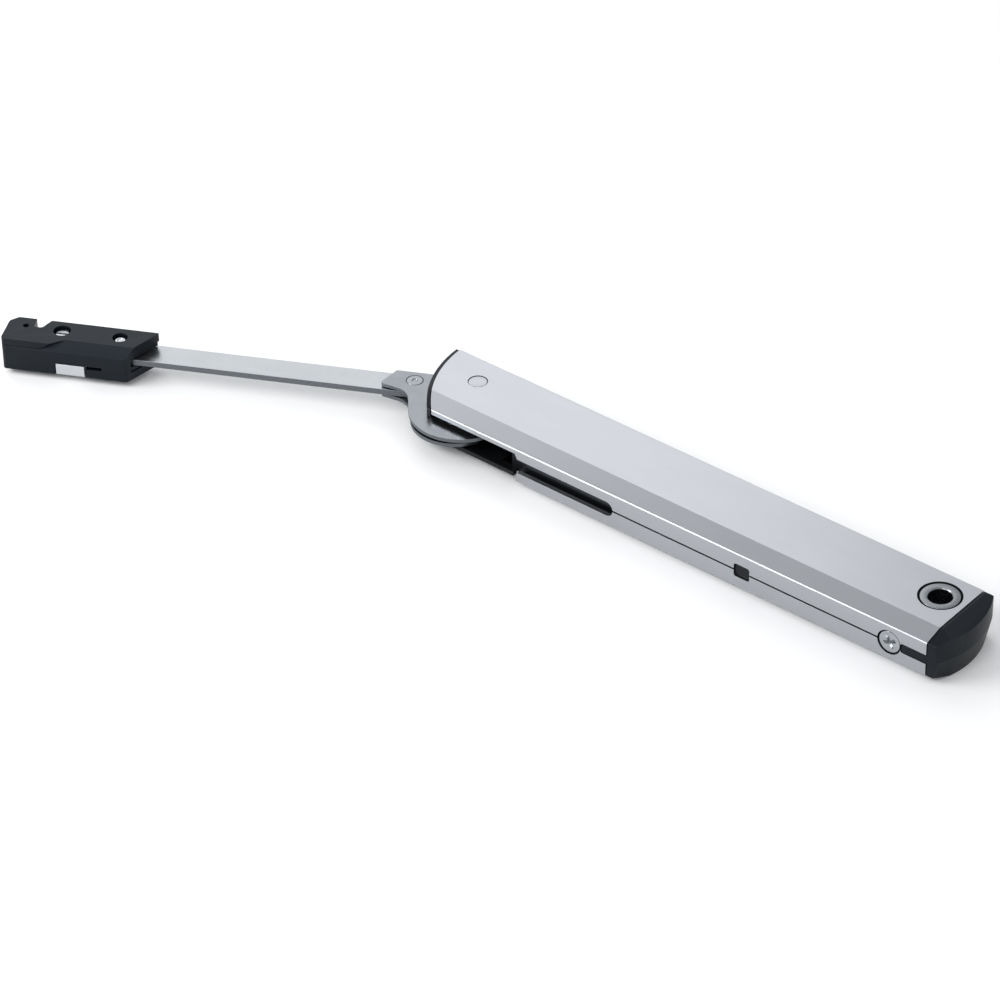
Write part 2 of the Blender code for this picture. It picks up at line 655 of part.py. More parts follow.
def make_seals(frame, rubber):
    """Rings round the bush, over and under its flange."""
    inner = BUSH_RADIUS + PRESS
    outer = inner + SEAL_WALL
    for name, low, high in (("upper_bush_seal", CEILING_Z, BODY_HEIGHT - SEAL_SINK),
                            ("lower_bush_seal", SEAL_SINK, FLOOR_Z)):
        ring = [(inner, high), (outer, high), (outer, low), (inner, low)]
        part(turned(name, ring, centre=(BUSH_X, 0), steps=FINE_ROUND), frame, rubber)


def cross_outline():
    """Outline of the screw's cross recess, turned as the screw stopped."""
    arm = SCREW_CROSS / 2
    slot = SCREW_CROSS_SLOT / 2
    outline = []
    for quarter in range(4):
        turn = Matrix.Rotation(math.radians(90 * quarter + SCREW_CROSS_TURN), 2)
        for corner in ((arm, -slot), (arm, slot), (slot, slot)):
            x, z = turn @ Vector(corner)
            outline.append((SCREW_X + x, MID_Z + z))
    return outline


def make_fixings(frame, steel, brass, black):
    """Lever pin, clamp screw, its insert and the clip that fills the side window."""
    face = PIN_RADIUS - PIN_CHAMFER
    pin = [(0, BODY_HEIGHT - PRESS), (face, BODY_HEIGHT - PRESS),
           (PIN_RADIUS, BODY_HEIGHT - PRESS - PIN_CHAMFER), (PIN_RADIUS, PRESS + PIN_CHAMFER),
           (face, PRESS), (0, PRESS)]
    part(turned("lever_pin", pin, centre=(PIN_X, 0)), frame, steel)

    head_face = -NEAR_SIDE + SCREW_SINK
    neck = head_face + SCREW_HEAD - SCREW_RADIUS + 0.3
    screw = [(0, head_face), (SCREW_HEAD, head_face), (SCREW_HEAD, head_face + 0.3),
             (SCREW_RADIUS, neck), (SCREW_RADIUS, -BUSH_FLANGE - 0.8), (0, -BUSH_FLANGE - 0.8)]
    screw_body = turned("clamp_screw", screw, "Y", (SCREW_X, MID_Z))
    cross = plate("clamp_screw_cross", cross_outline(), head_face - 1,
                  head_face + SCREW_CROSS_DEPTH, "Y")
    combine(screw_body, "DIFFERENCE", cross)
    part(screw_body, frame, steel)

    inner = SCREW_RADIUS + PRESS
    outer = inner + INSERT_WALL
    insert = [(inner, -INNER_NEAR + 1.7), (outer, -INNER_NEAR + 1.7),
              (outer, -BUSH_FLANGE - 0.5), (inner, -BUSH_FLANGE - 0.5)]
    part(turned("screw_insert", insert, "Y", (SCREW_X, MID_Z)), frame, brass)

    clip = plate("window_clip", clip_window(-GAP / 2), -NEAR_SIDE + CLIP_SINK,
                 -INNER_NEAR + 0.8, "Y")
    half_length = CLIP_BASE_LENGTH / 2
    half_height = CLIP_BASE_HEIGHT / 2
    base = box("window_clip_base", (CLIP_X - half_length, -INNER_NEAR + GAP, MID_Z - half_height),
               (CLIP_X + half_length, -INNER_NEAR + 1.4, MID_Z + half_height))
    combine(clip, "UNION", base)
    part(clip, frame, black)


# Lever, link and drive ------------------------------------------------------------------
def lever_outline(elbow_x, elbow_y, elbow_radius):
    """Plan of a lever plate about its pin: rivet end, round elbow and pin hub."""
    bar = Vector((math.cos(BAR_TURN), math.sin(BAR_TURN)))
    near = Vector((-bar.y, bar.x))
    rivet = Vector((LEVER_REACH_X, LEVER_REACH_Y))
    far_end = rivet + bar * LEVER_TIP - near * LEVER_TIP_FAR
    near_end = far_end + Vector((0.2, -LEVER_TIP_WIDTH))
    elbow = arc((elbow_x, elbow_y), elbow_radius, -20, -140, 20)
    tip = rounded([
        elbow[-1],
        (*LEVER_NOTCH, LEVER_NOTCH_ROUND),
        (near_end.x, near_end.y, 0.8),
        (far_end.x, far_end.y, 1.0),
        (far_end.x + 0.5, far_end.y + 0.25)])
    square_to_bar = BAR_ANGLE - 90
    hub = arc((0, 0), LEVER_HUB, square_to_bar, square_to_bar - 110, 12)
    return elbow[:-1] + tip + hub


def make_lever(frame, steel, dark_steel):
    """Two plates on a pin, held apart by a rivet and a spacer, and the pinion between."""
    for name, low, elbow, sunk in (
            ("lever_upper_plate", BAR_HIGH + GAP, UPPER_ELBOW, LEVER_HIGH - RIVET_SINK),
            ("lever_lower_plate", LEVER_LOW, LOWER_ELBOW, LEVER_LOW - 1)):
        piece = plate(name, lever_outline(*elbow), low, low + LEVER_PLATE)
        holes = [cylinder(name + "_pin_hole", "Z", (0, 0), low - 2, low + LEVER_PLATE + 2,
                          PIN_RADIUS + RUNNING),
                 cylinder(name + "_rivet_hole", "Z", (LEVER_REACH_X, LEVER_REACH_Y), low - 2,
                          low + LEVER_PLATE + 2, RIVET_RADIUS + RUNNING),
                 cylinder(name + "_rivet_seat", "Z", (LEVER_REACH_X, LEVER_REACH_Y), sunk,
                          sunk + RIVET_SINK + 1, RIVET_HEAD + PRESS),
                 cylinder(name + "_spacer_hole", "Z", (SPACER_X, SPACER_Y), low - 2,
                          low + LEVER_PLATE + 2, SPACER_NECK + PRESS, SMALL_ROUND)]
        combine(piece, "DIFFERENCE", *holes)
        part(piece, frame, steel)
    make_rivet("lever_rivet", frame, (LEVER_REACH_X, LEVER_REACH_Y), LEVER_LOW, LEVER_HIGH,
               RIVET_HEAD, steel)
    neck = SPACER_NECK
    spacer = [(0, LEVER_HIGH), (neck, LEVER_HIGH), (neck, BAR_HIGH + GAP - PRESS),
              (SPACER_RADIUS, BAR_HIGH + GAP - PRESS), (SPACER_RADIUS, BAR_LOW - GAP + PRESS),
              (neck, BAR_LOW - GAP + PRESS), (neck, LEVER_LOW), (0, LEVER_LOW)]
    part(turned("lever_spacer", spacer, centre=(SPACER_X, SPACER_Y), steps=SMALL_ROUND), frame,
         dark_steel)
    pinion = plate("drive_pinion", pinion_outline(), BAR_LOW, BAR_HIGH)
    combine(pinion, "DIFFERENCE", cylinder("drive_pinion_bore", "Z", (0, 0), 0, BODY_HEIGHT,
                                           PIN_RADIUS + RUNNING))
    part(pinion, frame, dark_steel)


def make_rivet(name, frame, place, low, high, head, material):
    """A rivet between the faces low and high, with sunk heads and a dimple in the top one."""
    top = high + RIVET_RISE
    bottom = low - RIVET_RISE
    under_top = high - RIVET_SINK + PRESS
    under_bottom = low + RIVET_SINK - PRESS
    profile = [(0, top - 0.15), (0.5, top), (head, top), (head, under_top),
               (RIVET_RADIUS, under_top), (RIVET_RADIUS, under_bottom), (head, under_bottom),
               (head, bottom), (0, bottom)]
    part(turned(name, profile, centre=place), frame, material)


def pinion_outline():
    """Straight-flanked teeth, thinner than half the pitch by the backlash."""
    step = 2 * math.pi / PINION_TEETH
    outline = []
    half = math.pi * GEAR_MODULE / 4 - TOOTH_BACKLASH
    root = PITCH_RADIUS - TOOTH_ROOT * GEAR_MODULE
    tip = PITCH_RADIUS + TOOTH_TIP * GEAR_MODULE
    for tooth in range(PINION_TEETH):
        centre = math.pi / 2 + tooth * step
        for radius, width in ((root, half * 1.5), (PITCH_RADIUS, half), (tip, half * 0.45)):
            outline.append((radius, centre - width / radius))
        for radius, width in ((tip, half * 0.45), (PITCH_RADIUS, half), (root, half * 1.5)):
            outline.append((radius, centre + width / radius))
    return [(radius * math.cos(angle), radius * math.sin(angle)) for radius, angle in outline]


def rack_outline():
    """The rack in plan: teeth towards the pinion, then a plain tail to the crosshead."""
    pitch = math.pi * GEAR_MODULE
    half = pitch / 4 - TOOTH_BACKLASH
    tip = PITCH_RADIUS - TOOTH_TIP * GEAR_MODULE
    root = RACK_ROOT
    flank = math.tan(math.radians(20))
    points = []
    first = -(RACK_TEETH // 2) + 0.5
    for tooth in range(RACK_TEETH):
        x = PIN_X + (first + tooth) * pitch + pitch
        points.append((x - half - flank * (root - PITCH_RADIUS), root))
        points.append((x - half + flank * (PITCH_RADIUS - tip), tip))
        points.append((x + half - flank * (PITCH_RADIUS - tip), tip))
        points.append((x + half + flank * (root - PITCH_RADIUS), root))
    start = points[0][0] - 0.6
    end = CROSSHEAD_X + RACK_GRIP
    shoulder = root + 0.4
    return [(start, shoulder)] + points + [(end, shoulder), (end, RACK_OUTER), (start, RACK_OUTER)]


def make_drive(frame, dark_steel, steel, brass):
    """Everything that slides with the rack."""
    rack = plate("rack", rack_outline(), BAR_LOW, BAR_HIGH)
    pin_place = (CROSSHEAD_X + RACK_GRIP / 2, (RACK_ROOT + RACK_OUTER) / 2)
    pin_hole = cylinder("rack_pin_hole", "Z", pin_place, 0, BODY_HEIGHT, RACK_PIN + PRESS, 16)
    combine(rack, "DIFFERENCE", pin_hole, solver="MANIFOLD")
    part(rack, frame, dark_steel)

    block = box("crosshead", (CROSSHEAD_X, DAMPER_Y - BLOCK_REACH, GUT_LOW),
                (CROSSHEAD_X + CROSSHEAD_LENGTH, INNER_FAR - GAP, GUT_HIGH))
    slot = box("crosshead_rack_slot", (CROSSHEAD_X - 1, PITCH_RADIUS + 0.5, BAR_LOW - GAP),
               (CROSSHEAD_X + RACK_GRIP + GAP, RACK_OUTER + 1.0, BAR_HIGH + GAP))
    guide_seat = CROSSHEAD_X + RACK_GRIP + 2 * GAP
    rod_seat = CROSSHEAD_X + 2
    beyond = CROSSHEAD_X + CROSSHEAD_LENGTH + 1
    holes = [cylinder("crosshead_pin_hole", "Z", pin_place, 0, BODY_HEIGHT, RACK_PIN + PRESS, 16),
             cylinder("crosshead_guide_hole", "X", (SPRING_Y, MID_Z), guide_seat, beyond,
                      GUIDE_RADIUS + PRESS, SMALL_ROUND),
             cylinder("crosshead_rod_hole", "X", (DAMPER_Y, MID_Z), rod_seat, beyond,
                      ROD_RADIUS + PRESS, SMALL_ROUND)]
    combine(block, "DIFFERENCE", slot, *holes)
    part(block, frame, steel, smooth=False)

    part(cylinder("rack_pin", "Z", pin_place, GUT_LOW + 0.5, GUT_HIGH - 0.5, RACK_PIN, 16),
         frame, steel)
    guide_start = guide_seat + GAP
    part(cylinder("spring_guide", "X", (SPRING_Y, MID_Z), guide_start, guide_start + GUIDE_LENGTH,
                  GUIDE_RADIUS, SMALL_ROUND), frame, steel)
    rod_start = rod_seat + GAP
    rod_end = rod_start + ROD_LENGTH
    part(cylinder("damper_rod", "X", (DAMPER_Y, MID_Z), rod_start, rod_end, ROD_RADIUS,
                  SMALL_ROUND), frame, steel)
    piston_edge = DAMPER_BORE - RUNNING - 0.05
    piston_end = rod_end - 0.5
    piston_start = piston_end - PISTON_LENGTH
    piston = [(ROD_RADIUS + PRESS, piston_end), (piston_edge, piston_end),
              (piston_edge, piston_start), (ROD_RADIUS + PRESS, piston_start)]
    part(turned("damper_piston", piston, "X", (DAMPER_Y, MID_Z)), frame, brass)


def make_spring_and_damper(frame, steel, spring_steel, black):
    """The closing spring on its seat, and the damper that the anchor block holds."""
    part(coil("closing_spring", "X", (SPRING_Y, MID_Z), SPRING_X, SPRING_X + SPRING_LENGTH,
              SPRING_COIL, SPRING_WIRE, SPRING_TURNS), frame, spring_steel)
    seat = box("spring_seat", (SEAT_X, SPRING_Y - SEAT_REACH, GUT_LOW),
               (SEAT_X + SEAT_LENGTH, INNER_FAR - GAP, GUT_HIGH))
    combine(seat, "DIFFERENCE", cylinder("spring_seat_hole", "X", (SPRING_Y, MID_Z), SEAT_X - 1,
                                         SEAT_X + SEAT_LENGTH + 1, GUIDE_RADIUS + 0.4,
                                         SMALL_ROUND))
    part(seat, frame, black, smooth=False)

    bore = DAMPER_BORE
    tube = [(DAMPER_RADIUS, DAMPER_END), (DAMPER_RADIUS, DAMPER_X), (bore, DAMPER_X),
            (bore, DAMPER_END)]
    part(turned("damper_cylinder", tube, "X", (DAMPER_Y, MID_Z)), frame, steel)
    gland = [(ROD_RADIUS + PRESS, DAMPER_X + GLAND_LENGTH), (bore - PRESS, DAMPER_X + GLAND_LENGTH),
             (bore - PRESS, DAMPER_X + GAP), (ROD_RADIUS + PRESS, DAMPER_X + GAP)]
    part(turned("damper_gland", gland, "X", (DAMPER_Y, MID_Z)), frame, black)
    plug_end = ANCHOR_X + PLUG_NECK_LENGTH
    plug = [(0, plug_end), (PLUG_NECK, plug_end), (PLUG_NECK, DAMPER_END - GAP),
            (bore - PRESS, DAMPER_END - GAP), (bore - PRESS, DAMPER_END - PLUG_DEPTH),
            (0, DAMPER_END - PLUG_DEPTH)]
    part(turned("damper_plug", plug, "X", (DAMPER_Y, MID_Z)), frame, steel)
    anchor = box("anchor_block", (ANCHOR_X, DAMPER_Y - BLOCK_REACH, GUT_LOW),
                 (ANCHOR_X + ANCHOR_LENGTH, INNER_FAR - GAP, GUT_HIGH))
    combine(anchor, "DIFFERENCE", cylinder("anchor_block_hole", "X", (DAMPER_Y, MID_Z), ANCHOR_X - 1,
                                           plug_end + GAP, PLUG_NECK + PRESS))
    part(anchor, frame, black, smooth=False)


def make_link(frame, steel):
    """The flat bar, with a round end about each rivet."""
    half = BAR_WIDTH / 2
    outline = arc((0, 0), half, 90, 270, 14) + arc((BAR_LENGTH, 0), half, -90, 90, 14)
    bar = plate("link_bar", outline, BAR_LOW, BAR_HIGH)
    holes = [cylinder(f"link_bar_hole_{end}", "Z", (x, 0), BAR_LOW - 2, BAR_HIGH + 2,
                      RIVET_RADIUS + RUNNING) for end, x in (("lever", 0), ("bracket", BAR_LENGTH))]
    combine(bar, "DIFFERENCE", *holes)
    part(bar, frame, steel)


# Bracket --------------------------------------------------------------------------------
def bracket_outline():
    """The bracket in plan: slanted mouth, plain near side, hook notch on the far side."""
    slot = HOOK_SLOT
    wide = HOOK_SLOT_WIDTH
    deep = -BRACKET_FAR + HOOK_SLOT_DEPTH
    return rounded([
        (-MOUTH_FAR, -BRACKET_FAR, 0.3), (slot, -BRACKET_FAR, 0.4),
        (slot + wide * 0.42, deep, 0.8), (slot + wide - 0.2, deep, 0.6),
        (slot + wide, -BRACKET_FAR, 0.3), (BRACKET_TAIL - TAIL_CUT, -BRACKET_FAR, 0.8),
        (BRACKET_TAIL, -BRACKET_FAR + TAIL_CUT, 1.6), (BRACKET_TAIL, BRACKET_NEAR, 1.2),
        (-MOUTH_NEAR, BRACKET_NEAR, 1.8)], steps=4)


def mouth_pad_outline():
    """The pads' plan: the flanges' mouth, a little inside, to just past the rivet."""
    slope = (MOUTH_FAR - MOUTH_NEAR) / (BRACKET_NEAR + BRACKET_FAR)
    near = BRACKET_NEAR - PAD_SIDE
    return rounded([
        (-MOUTH_FAR + 0.4, -BRACKET_FAR + 0.3, 0.3), (BAR_WIDTH / 2, -BRACKET_FAR + 0.3, 1.0),
        (BAR_WIDTH / 2, near, 1.0),
        (-MOUTH_NEAR - slope * (BRACKET_NEAR - near) + 0.4, near, 0.3)], steps=4)


def bracket_chamfer():
    """Cutter for the sloped near top edge, which ends in a curve beside the screw."""
    cutter = plate("bracket_chamfer", rounded([
        (-MOUTH_FAR, -4), (SCREW_PLACE - 6, -4, 6), (SCREW_PLACE + 5, 1.6, 8),
        (BRACKET_TAIL + 6, 1.6), (BRACKET_TAIL + 6, 8), (-MOUTH_FAR, 8)]), 0, 6)
    graph = bmesh.new()
    graph.from_mesh(cutter.data)
    lean = Matrix.Rotation(math.radians(-45), 4, "X")
    bmesh.ops.transform(graph, matrix=lean, verts=graph.verts)
    middle = Vector((0, BRACKET_NEAR - BRACKET_CHAMFER / 2, BRACKET_HIGH - BRACKET_CHAMFER / 2))
    bmesh.ops.translate(graph, vec=middle * MM, verts=graph.verts)
    graph.to_mesh(cutter.data)
    graph.free()
    return cutter


def make_bracket(frame, black, bright):
    """The moulded bracket with its mouth pads, its rivet and its set screw."""
    body = plate("bracket_body", bracket_outline(), BRACKET_LOW, BRACKET_HIGH)
    cavity = box("bracket_cavity", (-MOUTH_FAR - 4, -BRACKET_FAR - 2, CAVITY_LOW),
                 (BAR_WIDTH / 2 + 0.8, BRACKET_NEAR - CAVITY_SIDE, CAVITY_HIGH))
    pocket = box("bracket_latch_pocket", (LATCH_START - GAP, POCKET_FAR, BRACKET_LOW - 2),
                 (LATCH_END + GAP, BRACKET_NEAR + 2, POCKET_TOP))
    slit = box("bracket_latch_slit", (LATCH_START - LATCH_SLIT, BRACKET_NEAR - 2.2,
                                       POCKET_TOP - LATCH_SLIT_HEIGHT),
               (LATCH_START, BRACKET_NEAR + 2, POCKET_TOP))
    screw_hole = cylinder("bracket_screw_hole", "Z", (SCREW_PLACE, 0), POCKET_TOP - 1,
                          BRACKET_HIGH + 2, SCREW_WELL, SMALL_ROUND)
    eye = cylinder("bracket_rivet_hole", "Z", (0, 0), BRACKET_LOW - 2, BRACKET_HIGH + 2,
                   RIVET_RADIUS + PRESS)
    upper_recess = cylinder("bracket_rivet_recess", "Z", (0, 0), BRACKET_HIGH - RIVET_RECESS,
                            BRACKET_HIGH + 2, RECESS_RADIUS)
    lower_recess = cylinder("bracket_rivet_recess_low", "Z", (0, 0), BRACKET_LOW - 2,
                            BRACKET_LOW + RIVET_RECESS, RECESS_RADIUS)
    pip = cylinder("bracket_hook_hole", "Z", (BRACKET_TAIL - HOOK_HOLE_BACK, -0.5),
                   BRACKET_HIGH - 4, BRACKET_HIGH + 2, HOOK_HOLE, 16)
    combine(body, "DIFFERENCE", cavity, bracket_chamfer(), pocket, slit, screw_hole, eye,
            upper_recess, lower_recess, pip)
    part(body, frame, black)

    for name, low, high in (("bracket_upper_pad", BAR_HIGH + GAP, CAVITY_HIGH - PAD_GAP),
                            ("bracket_lower_pad", CAVITY_LOW + PAD_GAP, BAR_LOW - GAP)):
        pad = plate(name, mouth_pad_outline(), low, high)
        combine(pad, "DIFFERENCE", cylinder(name + "_hole", "Z", (0, 0), low - 2, high + 2,
                                            RIVET_RADIUS + PRESS))
        part(pad, frame, black)
    make_rivet("bracket_rivet", frame, (0, 0), BRACKET_LOW + RIVET_RECESS - RIVET_SINK,
               BRACKET_HIGH - RIVET_RECESS + RIVET_SINK, BRACKET_RIVET_HEAD, bright)
    top = BRACKET_HIGH - SET_SCREW_DEPTH
    screw = cylinder("bracket_set_screw", "Z", (SCREW_PLACE, 0), POCKET_TOP + GAP, top, SET_SCREW,
                     SMALL_ROUND)
    half = SET_SCREW_SLOT / 2
    slot = box("bracket_set_screw_slot", (SCREW_PLACE - 3, -half, top - 0.9),
               (SCREW_PLACE + 3, half, top + 1))
    combine(screw, "DIFFERENCE", slot)
    part(screw, frame, bright)


def make_latch(latch_frame, bracket_frame, bright, spring_steel):
    """The sheet-metal release: a pressed tab with a tongue, pushed back by a spring."""
    low = BRACKET_LOW + 0.1
    inset = LATCH_INSET
    tab = box("latch_plate", (LATCH_START, BRACKET_NEAR - LATCH_SHEET, low),
              (LATCH_END, BRACKET_NEAR, BRACKET_LOW + LATCH_HEIGHT))
    tongue = box("latch_tongue", (LATCH_START + 1, inset, BRACKET_LOW + LATCH_HEIGHT - LATCH_SHEET),
                 (LATCH_END - 1, BRACKET_NEAR - 0.4, BRACKET_LOW + LATCH_HEIGHT))
    foot = box("latch_foot", (LATCH_START + 1, inset, low + 0.3),
               (LATCH_END - 1, inset + LATCH_SHEET, BRACKET_LOW + LATCH_HEIGHT - 0.2))
    combine(tab, "UNION", tongue, foot)
    part(tab, latch_frame, bright, smooth=False)
    middle = (LATCH_START + LATCH_END) / 2
    part(coil("latch_spring", "Y", (middle, low + LATCH_HEIGHT / 2 - 0.2), POCKET_FAR + GAP,
              inset - GAP, LATCH_COIL, LATCH_WIRE, 4), bracket_frame, spring_steel)


# The model --------------------------------------------------------------------------------
clear_scene()
PARTS = new_collection("door_closer")
CUTTERS = new_collection("cutters")

silver = finish_of("silver_anodised_shell", (0.72, 0.73, 0.75), 0.32, 1.0)
steel = finish_of("satin_steel", (0.60, 0.61, 0.62), 0.30, 1.0)
bright = finish_of("zinc_plated_steel", (0.74, 0.75, 0.76), 0.22, 1.0)
dark_steel = finish_of("hardened_steel", (0.25, 0.25, 0.27), 0.35, 1.0)
spring_wire = finish_of("spring_steel", (0.35, 0.36, 0.38), 0.30, 1.0)
brass = finish_of("brass", (0.70, 0.55, 0.25), 0.30, 1.0)
black = finish_of("black_plastic", (0.018, 0.020, 0.023), 0.45, 0.0)
rubber = finish_of("black_rubber", (0.012, 0.012, 0.013), 0.80, 0.0)

housing_frame = new_frame("housing_frame", (0, 0))
slider_frame = new_frame("slider_axis", (0, 0))
bush_frame = new_frame("bush_axis", (BUSH_X, 0))
lever_frame = new_frame("lever_axis", (PIN_X, 0))
link_frame = new_frame("link_axis", LEVER_RIVET, BAR_TURN)
bracket_frame = new_frame("bracket_axis", BRACKET_RIVET, BAR_TURN)
latch_frame = new_frame("latch_axis", BRACKET_RIVET, BAR_TURN)

make_shells(housing_frame, silver)
make_liners(housing_frame, black)
make_end_cap(housing_frame, black)
make_bush(bush_frame, steel)
make_seals(housing_frame, rubber)
make_fixings(housing_frame, bright, brass, black)
make_lever(lever_frame, steel, dark_steel)
make_drive(slider_frame, dark_steel, steel, brass)
make_spring_and_damper(housing_frame, steel, spring_wire, black)
make_link(link_frame, steel)
make_bracket(bracket_frame, black, bright)
make_latch(latch_frame, bracket_frame, bright, spring_wire)
bpy.context.view_layer.update()
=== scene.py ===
# %% [markdown]
# # A slim door closer, finished for a close look
# The closer is a flat aluminium body that hangs on a steel bush.  A folding lever and a
# flat bar reach out of it to a black bracket, which hooks on to the door.  The packed
# model gives every piece its size and its place, and this script gives them their edges
# and their surfaces.  Sizes in the cells are in millimetres, as on a drawing, and MM
# turns them to metres where a mesh is made.

# %% Load the frame
import math

import bmesh
import bpy
import numpy as np
from mathutils import Matrix, Vector


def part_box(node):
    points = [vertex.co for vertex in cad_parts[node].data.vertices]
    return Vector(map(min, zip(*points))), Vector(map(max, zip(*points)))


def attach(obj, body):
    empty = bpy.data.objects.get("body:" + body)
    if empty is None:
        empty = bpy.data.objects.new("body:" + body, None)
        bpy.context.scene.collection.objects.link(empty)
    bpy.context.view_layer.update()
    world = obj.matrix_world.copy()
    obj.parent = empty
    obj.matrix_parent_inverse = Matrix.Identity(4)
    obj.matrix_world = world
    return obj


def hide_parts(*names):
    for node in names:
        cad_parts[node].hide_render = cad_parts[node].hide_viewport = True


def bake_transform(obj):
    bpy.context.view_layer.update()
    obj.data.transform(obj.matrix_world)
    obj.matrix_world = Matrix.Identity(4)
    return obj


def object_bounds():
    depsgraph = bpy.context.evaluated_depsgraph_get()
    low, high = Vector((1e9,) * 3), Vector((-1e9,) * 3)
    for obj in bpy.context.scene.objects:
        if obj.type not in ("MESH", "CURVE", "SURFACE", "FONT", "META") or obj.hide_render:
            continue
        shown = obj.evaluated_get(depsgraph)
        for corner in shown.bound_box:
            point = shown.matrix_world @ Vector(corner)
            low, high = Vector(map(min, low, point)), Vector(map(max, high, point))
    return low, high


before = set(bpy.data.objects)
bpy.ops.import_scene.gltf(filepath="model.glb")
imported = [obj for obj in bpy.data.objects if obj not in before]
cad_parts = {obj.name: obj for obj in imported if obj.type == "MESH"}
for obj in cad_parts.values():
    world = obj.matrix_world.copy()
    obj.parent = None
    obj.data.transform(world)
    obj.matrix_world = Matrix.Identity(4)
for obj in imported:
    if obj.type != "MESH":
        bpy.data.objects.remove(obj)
cad_box = [list(corner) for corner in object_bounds()]
MM = 0.001


def box_mm(node):
    """The low and the high corner of a node's box, in millimetres."""
    low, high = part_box(node)
    return np.array(low) / MM, np.array(high) / MM


def middle(node):
    """Centre of a node's box, in millimetres."""
    low, high = box_mm(node)
    return (low + high) / 2


BUSH = middle("pivot_bush")
PIN = middle("lever_pin")
LEVER_RIVET = middle("lever_rivet")
BRACKET_RIVET = middle("bracket_rivet")
BAR = (BRACKET_RIVET - LEVER_RIVET)[:2]
BAR_TURN = math.atan2(BAR[1], BAR[0])
print("bar:", round(float(np.hypot(*BAR)), 2), "mm at", round(math.degrees(BAR_TURN), 2), "degrees")

# %% [markdown]
# ## Tools for surfaces
# Turned pieces (bush, pin, rivets, screws, tubes) are a profile spun round an axis.  The
# points of such a surface fill a grid: one row for each profile point, one column for
# each direction.  Springs are a small circle carried along a helix, which fills a grid
# in the same way.  One function turns any such grid into a mesh.


# %% A grid of points becomes a mesh
def grid_mesh(name, points, close_rows, close_columns):
    """Quads between the points[row, column] of a grid, joined across its ends if closed.

    A closed row direction joins the last row to the first, and the same for columns."""
    rows, columns = points.shape[:2]
    row = np.arange(rows if close_rows else rows - 1)[:, None]
    column = np.arange(columns if close_columns else columns - 1)[None, :]
    next_row = (row + 1) % rows
    next_column = (column + 1) % columns
    corners = (row * columns + column, row * columns + next_column,
               next_row * columns + next_column, next_row * columns + column)
    faces = np.stack([np.broadcast_to(corner, (row.size, column.size)) for corner in corners], -1)
    return solid(name, points.reshape(-1, 3), faces.reshape(-1, 4).tolist())


def solid(name, points, faces):
    """A mesh object from points in millimetres: doubles merged, faces turned outwards."""
    mesh = bpy.data.meshes.new(name)
    mesh.from_pydata((np.asarray(points) * MM).tolist(), [], faces)
    graph = bmesh.new()
    graph.from_mesh(mesh)
    bmesh.ops.remove_doubles(graph, verts=graph.verts, dist=1e-7)
    bmesh.ops.dissolve_degenerate(graph, edges=graph.edges, dist=1e-8)
    bmesh.ops.recalc_face_normals(graph, faces=graph.faces)
    graph.to_mesh(mesh)
    graph.free()
    piece = bpy.data.objects.new(name, mesh)
    bpy.context.scene.collection.objects.link(piece)
    return piece


def smooth(piece, angle=35.0):
    """Round shading, but for edges sharper than the angle in degrees."""
    piece.data.shade_smooth()
    piece.data.set_sharp_from_angle(angle=math.radians(angle))
    return piece


def lay_along(points, axis, centre):
    """Points drawn about the Z axis, laid about the axis named and moved to its line.

    The third coordinate runs along the axis, so the centre only counts across it."""
    order = {"X": (2, 0, 1), "Y": (0, 2, 1), "Z": (0, 1, 2)}[axis]
    across = np.array([float(name != axis) for name in "XYZ"])
    return points[..., order] + np.array(centre) * across


# %% Pieces turned on a lathe
def fillet(corners, steps=4):
    """A polyline through corners (r, h) or (r, h, radius), each radius drawn as an arc.

    The arc's centre lies on the corner's bisector, at radius / sin(half the corner)."""
    line = []
    for i, corner in enumerate(corners):
        here = np.array(corner[:2], float)
        if len(corner) == 2:
            line.append(here)
            continue
        back = np.array(corners[i - 1][:2]) - here
        ahead = np.array(corners[(i + 1) % len(corners)][:2]) - here
        back = back / np.hypot(*back)
        ahead = ahead / np.hypot(*ahead)
        half = math.acos(float(np.clip(back @ ahead, -1, 1))) / 2
        centre = here + (back + ahead) / np.hypot(*(back + ahead)) * corner[2] / math.sin(half)
        start = here + back * corner[2] / math.tan(half) - centre
        end = here + ahead * corner[2] / math.tan(half) - centre
        sweep = math.atan2(start[0] * end[1] - start[1] * end[0], float(start @ end))
        for angle in np.linspace(0, sweep, steps + 1):
            c, s = math.cos(angle), math.sin(angle)
            line.append(centre + np.array([c * start[0] - s * start[1], s * start[0] + c * start[1]]))
    return np.array(line)


def lathe(name, corners, centre, axis="Z", closed=False, sides=96):
    """Spin a profile: each point (r, h) becomes a ring (r cos a, r sin a, h).

    A closed profile makes a ring; an open one starts and ends on the axis, at r = 0."""
    profile = fillet(corners)
    angle = np.linspace(0, 2 * math.pi, sides, endpoint=False)
    radius, height = profile[:, 0][:, None], profile[:, 1][:, None]
    across = radius * np.cos(angle)
    up = radius * np.sin(angle)
    along = np.broadcast_to(height, across.shape)
    surface = lay_along(np.stack((across, up, along), -1), axis, centre)
    return smooth(grid_mesh(name, surface, closed, True))


# %% Springs
END_PACE = 0.3       # how fast an end turn rises, beside a turn in the middle
END_TURN = 1.0       # turns at each end that lie almost flat
END_EASE = 0.4       # turns more until the spring rises at its full pace


